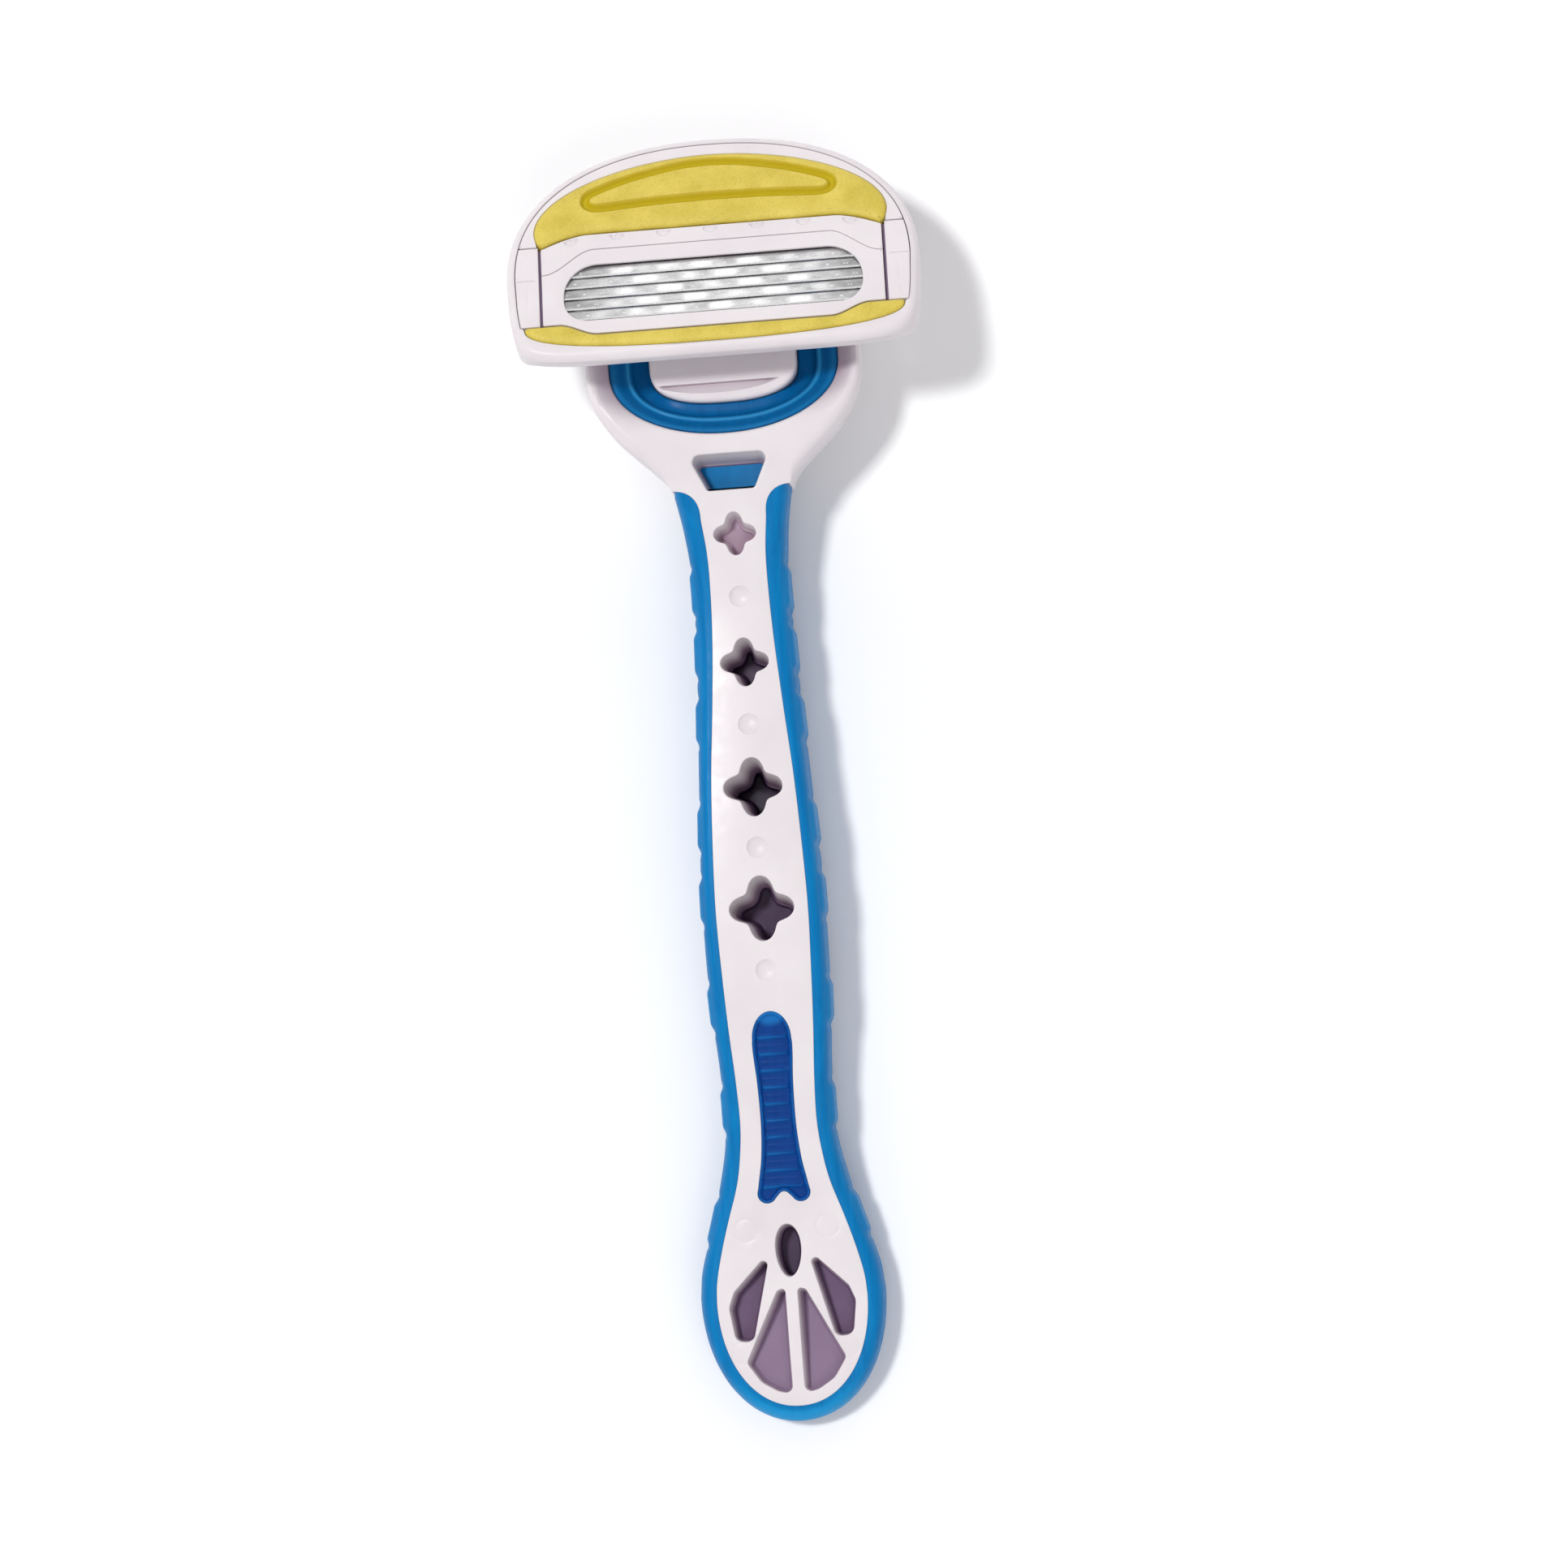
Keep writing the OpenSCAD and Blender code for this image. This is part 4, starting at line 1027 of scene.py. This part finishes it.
def dock():
    """The white tongue that plugs into the yoke, and the two arms that hold the pivot pin."""
    half = superellipse(TONGUE_A - 0.05, BOWL_S - DOCK_BACK, 2.6, -90, 0, 50) + [0, BOWL_S]
    loop = np.concatenate([half, [[TONGUE_A - 0.05, DOCK_FRONT]]])
    loop = resample(anticlockwise(mirrored(loop)), 0.2)

    def ledge_low(x):
        return 120.75 + 1.1 * (np.abs(x + 0.8) / 7.2) ** 2.4

    def depth(x, y):
        low = ledge_low(x)
        well = np.clip((y - low) / np.maximum(LEDGE_HIGH - low, 0.05), 0, 1)
        return well ** 0.8 * (y < LEDGE_HIGH + 0.01) * smooth((LEDGE_HIGH - low) / 0.5)

    def top(x, y):
        return DOCK_TOP - 0.6 + 0.035 * (y - DOCK_BACK) - 0.7 * depth(x, y)

    x = np.arange(-8, 8.01, 0.16)
    lines = [np.stack([x, np.full(len(x), LEDGE_HIGH + d)], 1) for d in (-0.4, -0.15, 0, 0.06, 0.3)]
    lines += [np.stack([x, ledge_low(x) + d], 1) for d in (-0.2, 0, 0.15, 0.35, 0.6)]
    lines = np.concatenate(lines)
    solid = Solid()
    slab(solid, loop, top, flat_at(BOWL_FLOOR + 0.15), rim=0.5, foot=0.2, rim_drop=0.6, spacing=0.5,
         extra=lines[lines[:, 1] <= LEDGE_HIGH + 0.31])
    x, y, z = np.array(solid.points).T
    # Painted shade in the well under the ledge
    solid.paint(0.16 * depth(x, y) * (z > NECK_LIFT + 6))
    for side in (-1, 1):
        low, high = sorted((side * ARM_X[0], side * ARM_X[1]))
        t = np.linspace(-math.pi / 2, math.pi / 2, 20)
        eye_s, eye_z = PIVOT.y - TAIL_Y, PIVOT.z
        tip = np.stack([eye_s + 1.7 * np.cos(t), eye_z + 1.7 * np.sin(t)], 1)
        root = [(DOCK_FRONT - 1, NECK_LIFT + 7.4), (DOCK_FRONT - 1, NECK_LIFT + 4.4)]
        bar(solid, np.concatenate([tip, [(eye_s - 1.5, NECK_LIFT + 8.2)], root]), low, high)
    return piece("cartridge_dock", solid, on_handle, "cartridge_mount", WHITE,
                 ["dock_block"])


def coil(solid, centre, radius, wire, turns, length):
    """A wire spring along the handle, with closed end turns. centre is its low end as [x, s, z]."""
    steps, sides = 24, 8
    run = np.linspace(0, 1, turns * steps + 1)
    travel = wire + (length - 2 * wire) * curve([[0, 0], [0.15, 0.05], [0.5, 0.5], [0.85, 0.95], [1, 1]], run)
    rows = []
    for turn, y in zip(run * turns * 2 * math.pi, travel):
        a = np.linspace(0, 2 * math.pi, sides, endpoint=False)
        q = radius + wire * np.cos(a)
        flat = np.stack([centre[0] + q * math.cos(turn), centre[1] + y + wire * np.sin(a)], 1)
        rows.append(solid.add(flat, centre[2] + q * math.sin(turn)))
    solid.rings(rows)
    solid.ends(rows)


def pivot_pin():
    """The hinge pin, with softened ends that stand a little proud of the arms."""
    t = np.linspace(0, 2 * math.pi, 40, endpoint=False)
    round_section = np.stack([PIVOT.y - TAIL_Y + PIN_R * np.cos(t), PIVOT.z + PIN_R * np.sin(t)], 1)
    solid = Solid()
    bar(solid, round_section, -ARM_X[1] - PIN_PROUD, ARM_X[1] + PIN_PROUD, edge=0.2)
    return piece("hinge_pin", solid, on_handle, "cartridge_mount", WIRE, ["pivot_pin"])


def springs():
    """The button's two return springs and the plunger's spring."""
    solid = Solid()
    for side in (-1, 1):
        low_end = [side * BUTTON_SPRING_X, BUTTON_SPRING_S, NECK_LIFT + 2.15]
        coil(solid, low_end, 0.5, 0.1, 5, BUTTON_SPRING_L)
    pair = piece("button_return_springs", solid, on_handle, "handle", WIRE,
                 ["button_springs"], weld=1e-6)
    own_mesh(pair)
    low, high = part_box("plunger_spring")
    solid = Solid()
    coil(solid, [0, PLUNGER_SPRING_S, (low.z + high.z) / 2 / MM], 0.9, 0.14, 5, PLUNGER_SPRING_L)
    single = piece("plunger_return_spring", solid, on_handle, "cartridge_mount", WIRE,
                   ["plunger_spring"], weld=1e-6)
    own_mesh(single)


# ---- Head, in the plane of its face ----

HEAD_A, HEAD_MID, DOME_B, CHIN_B = 24.05, -2.66, 17.3, 10.7
PARTING = 1.0
SEAM = 0.1
INNER_W = -SHELL_DEPTH + 1.2
UNIT_X, UNIT_GAP, UNIT_DEPTH = 19.85, 0.3, 3.2
BLOCK_TOP_V = 1.65
LOBE_DROP = 2.2
GROOVE_FLANKS = (-0.62, -0.48, -0.34, -0.2, 0, 0.2, 0.34, 0.48, 0.62)


def head_loop(move, step=0.3):
    chin = superellipse(HEAD_A - move, CHIN_B - move, 9, -90, 0, 160)
    chin[:, 0] *= 1 - 0.06 * np.abs(chin[:, 1] / CHIN_B) ** 2
    dome = superellipse(HEAD_A - move, DOME_B - move, 2.25, 0, 90, 120)
    half = np.concatenate([chin, dome[1:]]) + [0, HEAD_MID]
    return resample(anticlockwise(mirrored(half)), step)


DENTS = [-16.35, -10.9, -5.45, 0, 5.45, 10.9, 16.35]
DENT_R = 1.0
DENT_RINGS = (0.3, 0.6, 0.75, 0.82, 0.88, 0.94, 1.0)
SOAP_GAP = 0.2


def cap_top(x):
    """Upper edge of the blade cap, before the gap to the soap."""
    return 3 - 1.5 * np.clip((np.abs(x) - 14.5) / 5.2, 0, 1.2) ** 1.5


def brow(x):
    """Lower edge of the upper soap bar, slightly uneven."""
    return cap_top(x) + 0.035 * np.sin(x * 1.15)


def sill(x):
    """Upper edge of the lower soap bar."""
    return -10.3 + 1.45 * smooth((np.abs(x) - 13.5) / 4.5)


def chin_share(loop):
    """1 where the loop runs along the chin, falling to 0 at its corners and up its sides."""
    ahead = np.roll(loop, -1, 0) - np.roll(loop, 1, 0)
    downward = np.clip(ahead[:, 0] / np.linalg.norm(ahead, axis=1), 0, 1)
    return smooth((-7.5 - loop[:, 1]) / 4.5) * downward ** 2


def head_shell():
    """Outer shell: a rounded rim, a floor with rinse openings, hinge ears and the cam lobe."""
    solid = Solid()
    outline = head_loop(0)
    side = head_loop(PARTING)
    side = side[(side[:, 0] >= 0) & (side[:, 1] > -8.95)]
    low = superellipse(22.07, 3.22, 2.5, -90, 0, 90) + [0, -9.05]
    mouth = np.concatenate([low, side[np.argsort(np.arctan2(side[:, 1] + 9, side[:, 0]))]])
    mouth = resample(anticlockwise(mirrored(mouth)), 0.25)
    chin, mouth_chin = chin_share(outline), chin_share(mouth)
    face, bed, back = flat_at(0), flat_at(INNER_W), flat_at(-SHELL_DEPTH)
    outer = wall(solid, outline, 1, (face, 0.95, 1.3), (back, 0.7 + 3.5 * chin, 1.0 + 3.2 * chin))
    inner = wall(solid, mouth, -1, (face, 0.1, None), (bed, -0.9 * mouth_chin, 0.05 + 1.5 * mouth_chin))
    windows = []
    for x0, x1 in ((-16.5, -5.8), (5.8, 16.5)):
        for v0 in (-8.2, -4.6):
            window = resample(rectangle(x0, x1, v0, v0 + 3.1, 1.0), 0.3)
            windows.append(wall(solid, window, -1, (bed, 0.25, None), (back, 0.25, None)))
    solid.cap([outer[0], inner[0]], face, 0.6)
    solid.cap([inner[1]] + [w[0] for w in windows], bed, 1.2)
    solid.cap([outer[1]] + [w[1] for w in windows], back, 1.2)

    def knuckle(r, x0, x1):
        t = np.linspace(math.pi, 2 * math.pi, 24)
        arc = np.stack([PIVOT_V + r * np.cos(t), PIVOT_W + r * np.sin(t)], 1)
        foot = [(PIVOT_V + 3, -SHELL_DEPTH + 0.1), (PIVOT_V - 3, -SHELL_DEPTH + 0.1)]
        bar(solid, np.concatenate([arc, foot]), x0, x1)

    knuckle(2.0, 2.8, 5.4)
    knuckle(2.0, -5.4, -2.8)
    knuckle(1.9, -1.5, 1.5)
    lobe = np.array([PIVOT_V + LOBE_DROP * SIN, PIVOT_W - LOBE_DROP * COS])
    hub = np.array([PIVOT_V, PIVOT_W])
    heading = math.atan2(*(lobe - hub)[::-1])
    t = np.linspace(-math.pi / 2, math.pi / 2, 16)
    nose = lobe + 1.6 * np.stack([np.cos(heading + t), np.sin(heading + t)], 1)
    tail = hub + 1.6 * np.stack([np.cos(heading + math.pi + t), np.sin(heading + math.pi + t)], 1)
    bar(solid, np.concatenate([nose, tail]), -1.4, 1.4)
    return piece("head_outer_shell", solid, on_head, "head", WHITE, ["head_shell"])


SOAP_A, SOAP_B, SOAP_V, SOAP_N = 20.6, 8.8, 3.4, 1.9


def upper_soap_loop(step=0.2):
    arc = superellipse(SOAP_A, SOAP_B, SOAP_N, 0, 90, 90) + [0, SOAP_V]
    x = np.linspace(0, 19.7, 160)
    low = np.stack([x, brow(x)], 1)
    half = np.concatenate([low, [[20.25, 1.95], [20.5, 2.6]], arc])
    return resample(anticlockwise(mirrored(half)), step)


def groove_line():
    """Centre line of the groove pressed into the upper bar."""
    half = np.array([[0, 6.45], [6, 6.33], [10, 6.12], [12.6, 5.98], [13.7, 6.1], [14.35, 6.55],
                     [14.45, 7.15], [14.1, 7.75], [13.2, 8.25], [11, 9.05], [8.6, 9.75], [5, 10.55],
                     [2.5, 10.92], [0, 11.05]])
    t = np.linspace(0, 1, len(half))
    fine = np.linspace(0, 1, 200)
    smooth_half = np.stack([curve(np.stack([t, half[:, k]], 1), fine) for k in (0, 1)], 1)
    return resample(anticlockwise(mirrored(smooth_half)), 0.2)


def paint_groove(obj, line, reach):
    """Stores how deep in the groove each point lies, for the painted shade that darkens the soap there."""
    layer = obj.data.attributes.new("groove", "FLOAT", "POINT")
    co = np.array([v.co[:] for v in obj.data.vertices]) / MM
    y, z = co[:, 1] - FACE_Y, co[:, 2] - FACE_Z
    v, w = y * COS - z * SIN, y * SIN + z * COS
    gap = distance(np.stack([co[:, 0], v], 1), line) if line is not None else np.full(len(co), 9.0)
    layer.data.foreach_set("value", (smooth((reach - gap) / 0.25) * (w > -1)).astype(np.float32))


def soap_top(outline, line, proud):
    def top(x, y):
        flat = np.stack([x, y], 1)
        edge = distance(flat, outline)
        z = proud * (1 - np.exp(-edge / 0.9)) + 0.12
        if line is not None:
            z = z - 0.62 * (1 - smooth((distance(flat, line) - 0.2) / 0.5))
        return z
    return top


def upper_soap():
    outline, line = upper_soap_loop(), groove_line()
    extra = [inset(line, d) for d in GROOVE_FLANKS] + [inset(outline, d) for d in (0.75, 1.1, 1.6)]
    solid = Solid()
    slab(solid, outline, soap_top(outline, line, 0.5), flat_at(-3), rim=0.32, foot=0.1, spacing=0.5,
         extra=np.concatenate(extra))
    obj = piece("upper_soap", solid, on_head, "head", SOAP, ["upper_soap_bar"])
    paint_groove(obj, line, 0.62)


def lower_soap_loop():
    x = np.linspace(0, 21.7, 140)
    top = np.stack([x, sill(x) - 0.02], 1)
    low = superellipse(22.0, 3.15, 2.5, 0, -90, 90) + [0, -9.05]
    half = np.concatenate([top, low])[::-1]
    return resample(anticlockwise(mirrored(half)), 0.2)


def lower_soap():
    outline = lower_soap_loop()
    solid = Solid()
    slab(solid, outline, soap_top(outline, None, 0.4), flat_at(-3), rim=0.3, foot=0.1, spacing=0.45,
         extra=np.concatenate([inset(outline, d) for d in (0.6, 0.9)]))
    obj = piece("lower_soap", solid, on_head, "head", SOAP, ["lower_soap_bar"])
    paint_groove(obj, None, 0)


def soap_tray():
    """White arch between the shell's parting line and the upper soap bar."""
    outer = head_loop(PARTING + SEAM, 0.15)
    outer = outer[(outer[:, 1] > BLOCK_TOP_V + 0.1) & (outer[:, 0] >= 0)]
    outer = outer[np.argsort(outer[:, 1])]
    start = np.array([[20.32, BLOCK_TOP_V + 0.06], [outer[0, 0], BLOCK_TOP_V + 0.06]])
    soap = upper_soap_loop()
    soap = soap[(soap[:, 0] >= 0) & (soap[:, 1] > 2.2)]
    soap = soap[(soap[:, 0] > 19) | (soap[:, 1] > 4)]
    soap = soap[np.argsort(np.arctan2(soap[:, 1] - 2.2, soap[:, 0]))] + [0.02, 0.02]
    half = np.concatenate([soap[::-1], start, outer])
    loop = resample(anticlockwise(mirrored(half[::-1])[::-1]), 0.2)
    solid = Solid()
    slab(solid, loop, flat_at(0.0), flat_at(INNER_W), rim=0.1, foot=0.05, spacing=0.5)
    return piece("soap_frame", solid, on_head, "head", WHITE, ["soap_tray"])


SLIT_SHADE = 0.62


def side_block(side, name):
    """End block with a seam across it, a faint line down its lower half and a lip in the slit that carries
    painted shade.
    """
    low, high = sill(20) + 0.12, BLOCK_TOP_V - 0.06
    outer = head_loop(PARTING + SEAM, 0.15)
    outer = outer[(outer[:, 0] > 0) & (outer[:, 1] > low) & (outer[:, 1] < high)]
    outer = outer[np.argsort(outer[:, 1])]
    near = UNIT_X + UNIT_GAP + 0.05
    loop = resample(anticlockwise(np.concatenate([outer, [[near, high], [near, low]]])), 0.15)

    def top(x, y):
        seam = np.exp(-((y - HEAD_MID) / 0.06) ** 2) * smooth((np.abs(x) - near - 0.35) / 0.2)
        line = np.exp(-((np.abs(x) - 21.55 + 0.05 * (y + 5)) / 0.07) ** 2)
        line = line * smooth((-3.1 - y) / 0.3) * smooth((y + 7.9) / 0.3)
        return -0.04 - 0.16 * seam - 0.06 * line - 0.03 * smooth((HEAD_MID - y) / 0.1)

    along = np.concatenate([np.arange(-9, 1.8, 0.3), HEAD_MID + np.arange(-0.2, 0.21, 0.03)])
    extra = lattice(np.arange(20, 23.2, 0.12), along)
    solid = Solid()
    slab(solid, anticlockwise(loop * [side, 1]), top, flat_at(-UNIT_DEPTH), rim=0.12, foot=0.05, spacing=0.5,
         extra=extra * [side, 1])
    # A lip deep in the slit, painted with shade
    first = len(solid.points)
    lip = resample(rectangle(near - 0.28, near + 0.1, sill(20) + 0.3, BLOCK_TOP_V - 0.2, 0.05, 3), 0.1)
    slab(solid, anticlockwise(lip * [side, 1]), flat_at(-0.6), flat_at(-UNIT_DEPTH), rim=0.03, foot=0.03)
    solid.paint(SLIT_SHADE, first)
    return piece(name, solid, on_head, "head", WHITE,
                 ["side_block_left" if side < 0 else "side_block_right"])


def cap_line(x):
    """Parting line between the blade cap and the blade frame."""
    return 0.85 - 2.95 * smooth((np.abs(x) - 13.7) / 5.9)


def window_loop():
    return resample(rounded([(-17.35, -8.35), (17.35, -8.35), (17.35, -1.05), (-17.35, -1.05)],
                            [2.7, 2.7, 4.1, 4.1], 24), 0.15)


def blade_housing():
    """Frame around the blades, below the curved parting line."""
    x = np.linspace(0, UNIT_X, 150)
    low = np.stack([x, sill(x) + 0.16], 1)
    top = np.stack([x, cap_line(x) - 0.03], 1)[::-1]
    loop = resample(anticlockwise(mirrored(np.concatenate([low, top]))), 0.2)
    window = window_loop()

    def face(x, y):
        near = distance(np.stack([x, y], 1), window)
        return 0.02 - 0.1 * (1 - smooth(near / 0.9))

    solid = Solid()
    slab(solid, loop, face, flat_at(-0.5), rim=0.13, foot=0.05, holes=[(window, 0.13)], spacing=0.45,
         extra=np.concatenate([inset(window, -d) for d in (0.4, 0.7, 1.0)]))
    outer = resample(anticlockwise(mirrored(np.concatenate([low, top]))), 0.4)
    bay = resample(rectangle(-18.45, 18.45, -8.9, -0.5, 0.3), 0.3)
    slab(solid, inset(outer, 0.05), flat_at(-0.45), flat_at(-UNIT_DEPTH), rim=0.02, foot=0.15,
         holes=[(bay, 0.05)], spacing=1.0)
    return piece("blade_frame", solid, on_head, "blade_unit", WHITE, ["blade_housing"])


def blade_cap():
    """Strip above the curved line, with a row of half-round dents under the soap's edge."""
    x = np.linspace(0, UNIT_X, 200)
    top_edge = np.stack([x, cap_top(x) - SOAP_GAP], 1)
    low = np.stack([x, cap_line(x) + 0.03], 1)
    loop = resample(anticlockwise(mirrored(np.concatenate([low, top_edge[::-1]]))), 0.15)

    dents = [(d, 2.8 - 1.5 * max(abs(d) - 14.5, 0) ** 1.5 / 5.2 ** 1.5) for d in DENTS]

    def face(x, y):
        z = np.full(len(x), 0.06)
        for d, middle in dents:
            r = np.hypot(x - d, y - middle)
            below_edge = smooth((np.interp(np.abs(x), *top_edge.T) - 0.22 - y) / 0.12)
            z = z - 0.26 * smooth((DENT_R - r) / 0.2) * below_edge
        return z

    extra = [circle(d, middle, r, 48) for d, middle in dents for r in DENT_RINGS]
    solid = Solid()
    slab(solid, loop, face, flat_at(-0.5), rim=0.12, foot=0.05, spacing=0.4, extra=np.concatenate(extra))
    slab(solid, inset(resample(loop, 0.4), 0.05), flat_at(-0.45), flat_at(-1.4), rim=0.02, foot=0.1,
         spacing=1.0)
    return piece("blade_cap_strip", solid, on_head, "blade_unit", WHITE, ["blade_cap"])


BLADE_L, BLADE_T, BLADE_LEAN = 36.6, 0.1, math.radians(10)
FIRST_EDGE, BLADE_PITCH = -2.55, 1.4
BLADE_COLUMNS = [0, 0.05, 0.11, 0.17, 0.24, 0.33, 0.42, 0.5, 0.56, 0.62, 0.68, 0.74, 0.82, 0.92, 1.05,
                 1.2, 1.39]
WELD_PITCH = 4.2
WELD_AT, WELD_U = 1.05, 0.62
PIT_AT, PIT_U, PIT_SIZE = 3.15, 0.6, 0.006
PIT_APART = (-0.17, 0.17)


def glare(x, i):
    """How much of the light each stretch of strip i catches: staggered patches that fade to the ends."""
    wave = np.sin(2 * math.pi * (x / 4.9 + 0.43 * i)) + 0.7 * np.sin(2 * math.pi * (x / 7.9 + 0.61 * i))
    return smooth((wave + 0.8) / 2.1) * smooth((16.5 - np.abs(x)) / 9)


def spot(along, across, size):
    """A round spot, 1 at its middle, by the distances from it."""
    return np.exp(-(along ** 2 + across ** 2) / size)


def blade(i):
    """A blade strip with a ground edge, slight waviness and its row of weld spots."""
    x = np.arange(-BLADE_L / 2, BLADE_L / 2 + 0.01, 0.075)
    across = np.array(BLADE_COLUMNS)
    gx, gu = np.meshgrid(x, across, indexing="ij")
    shift = 0.35 * ((i * 7) % 5 - 2)
    height = 0.004 * np.sin((gx + shift) * 2 * math.pi / WELD_PITCH) * smooth(gu / 0.4)
    phase = (gx + shift + 50) % WELD_PITCH
    height += 0.045 * spot(phase - WELD_AT, gu - WELD_U, 0.02)
    for d in PIT_APART:
        height -= 0.04 * spot(phase - PIT_AT - d, gu - PIT_U, PIT_SIZE)
    grind = -0.055 * (1 - smooth(gu / 0.2))
    solid = Solid()
    edge = FIRST_EDGE - BLADE_PITCH * (i - 1)

    def lay(u, h):
        v = edge + u * math.cos(BLADE_LEAN) + h * math.sin(BLADE_LEAN)
        w = -0.5 - u * math.sin(BLADE_LEAN) + h * math.cos(BLADE_LEAN)
        return v, w

    rows = []
    for column in range(len(x)):
        u = np.concatenate([across, across[::-1]])
        h = np.concatenate([BLADE_T + height[column] + grind[column], 0 * across])
        h[-1] = 0.02
        v, w = lay(u, h)
        flat = np.stack([np.full(len(u), x[column]), v], 1)
        rows.append(solid.add(flat, w))
        spots = spot(phase[column, 0] - WELD_AT, u - WELD_U, 0.016)
        for d in PIT_APART:
            spots = spots + spot(phase[column, 0] - PIT_AT - d, u - PIT_U, PIT_SIZE)
        # Painted highlights: weld spots, pits, glare patches and the ground edge
        patch = glare(x[column], i) * smooth((u - 0.1) / 0.3) * smooth((1.35 - u) / 0.5)
        bright = np.clip(spots + patch + 0.8 * (u < 0.2), 0, 1) * (np.arange(len(u)) < len(across))
        solid.mark([rows[-1]], [bright])
    solid.rings(rows)
    solid.ends(rows)
    return piece(f"blade_strip_{i}", solid, on_head, "blade_unit", STEEL, [f"blade_{i}"],
                 sharp=30)


# ---- Build ----

for build in (grip_skin, handle_core, thumb_pad, neck_insert, yoke_liner, release_button, dock, pivot_pin,
              springs, head_shell, soap_tray, upper_soap, lower_soap):
    build()
side_block(-1, "end_block_left")
side_block(1, "end_block_right")
blade_housing()
blade_cap()
for number in range(1, 6):
    blade(number)

CARRIED = {"rock_spring_left": WIRE, "rock_spring_right": WIRE, "return_plunger": WHITE}
CARRIED.update({f"blade_support_{i}": STEEL for i in range(1, 6)})
for name, finish in CARRIED.items():
    mesh = frame["nodes"][name].data
    mesh.materials.clear()
    mesh.materials.append(finish)

# ---- Floor, light and camera ----

FLOOR_R, COVE_R, WALL_H = 1.8, 0.5, 1.3


def floor():
    """A round white floor that curves up into a low wall."""
    m = material("floor", (0.95, 0.95, 0.95), 0.7)
    at = place_of(m)
    attach(m, "Base Color", ramp(m, noise(m, at, 0.02, 2), [(0.3, grey(0.94)), (0.7, grey(0.96))]))
    sweep = np.radians(np.linspace(0, 90, 17))
    profile = [(0.4, 0), (0.8, 0)]
    profile += [(FLOOR_R + COVE_R * math.sin(a), COVE_R * (1 - math.cos(a))) for a in sweep]
    profile.append((FLOOR_R + COVE_R, WALL_H))
    turn = np.linspace(0, 2 * math.pi, 96, endpoint=False)
    points = [(0, 0, 0)] + [(r * math.cos(a), r * math.sin(a), z) for r, z in profile for a in turn]
    n = len(turn)
    faces = [(0, 1 + i, 1 + (i + 1) % n) for i in range(n)]
    for k in range(len(profile) - 1):
        first = 1 + k * n
        faces += [(first + i, first + n + i, first + n + (i + 1) % n, first + (i + 1) % n) for i in range(n)]
    mesh = bpy.data.meshes.new("floor")
    mesh.from_pydata(points, [], faces)
    mesh.materials.append(m)
    mesh.shade_smooth()
    obj = bpy.data.objects.new("floor", mesh)
    bpy.context.scene.collection.objects.link(obj)


def softbox(name, at, aim, size, power, colour=(1, 1, 1)):
    light = bpy.data.lights.new(name, "AREA")
    light.shape = "RECTANGLE"
    light.size, light.size_y = size
    light.energy = power
    light.color = colour
    obj = bpy.data.objects.new(name, light)
    obj.location = at
    obj.rotation_euler = (Vector(aim) - Vector(at)).to_track_quat("-Z", "Y").to_euler()
    bpy.context.scene.collection.objects.link(obj)


floor()
softbox("key", (-0.62, 0.34, 1.8), (0, 0, 0.01), (0.22, 0.22), 19.7)
softbox("tail_side", (0.35, -1.0, 1.55), (0, 0, 0.01), (1.3, 1.0), 7.1, (0.98, 0.98, 1.0))
softbox("blade_card", (0.1, 0.75, 0.4), (0, 0.06, 0.02), (0.9, 0.26), 0.8)

world = bpy.data.worlds.new("studio")
world.use_nodes = True
world.node_tree.nodes["Background"].inputs["Color"].default_value = (0.97, 0.95, 0.98, 1)
world.node_tree.nodes["Background"].inputs["Strength"].default_value = 0.39
bpy.context.scene.world = world
bpy.context.scene.view_settings.view_transform = "Standard"

CAMERA_AIM = Vector((3.5, -0.5, 10)) * MM
CAMERA_AT = Vector((34.5, -31.5, 600)) * MM
CAMERA_ROLL = math.radians(-4.1)


def aim(camera, at, target, roll):
    """Points the camera at its target with +Y up in the picture, then rolls it."""
    back = (at - target).normalized()
    right = Vector((0, 1, 0)).cross(back).normalized()
    up = back.cross(right)
    turned = Matrix((right, up, back)).transposed() @ Matrix.Rotation(roll, 3, "Z")
    camera.matrix_world = Matrix.Translation(at) @ turned.to_4x4()


camera = bpy.data.objects.new("camera", bpy.data.cameras.new("camera"))
camera.data.sensor_width = 36
camera.data.lens = 116
aim(camera, CAMERA_AT, CAMERA_AIM, CAMERA_ROLL)
bpy.context.scene.collection.objects.link(camera)
bpy.context.scene.camera = camera
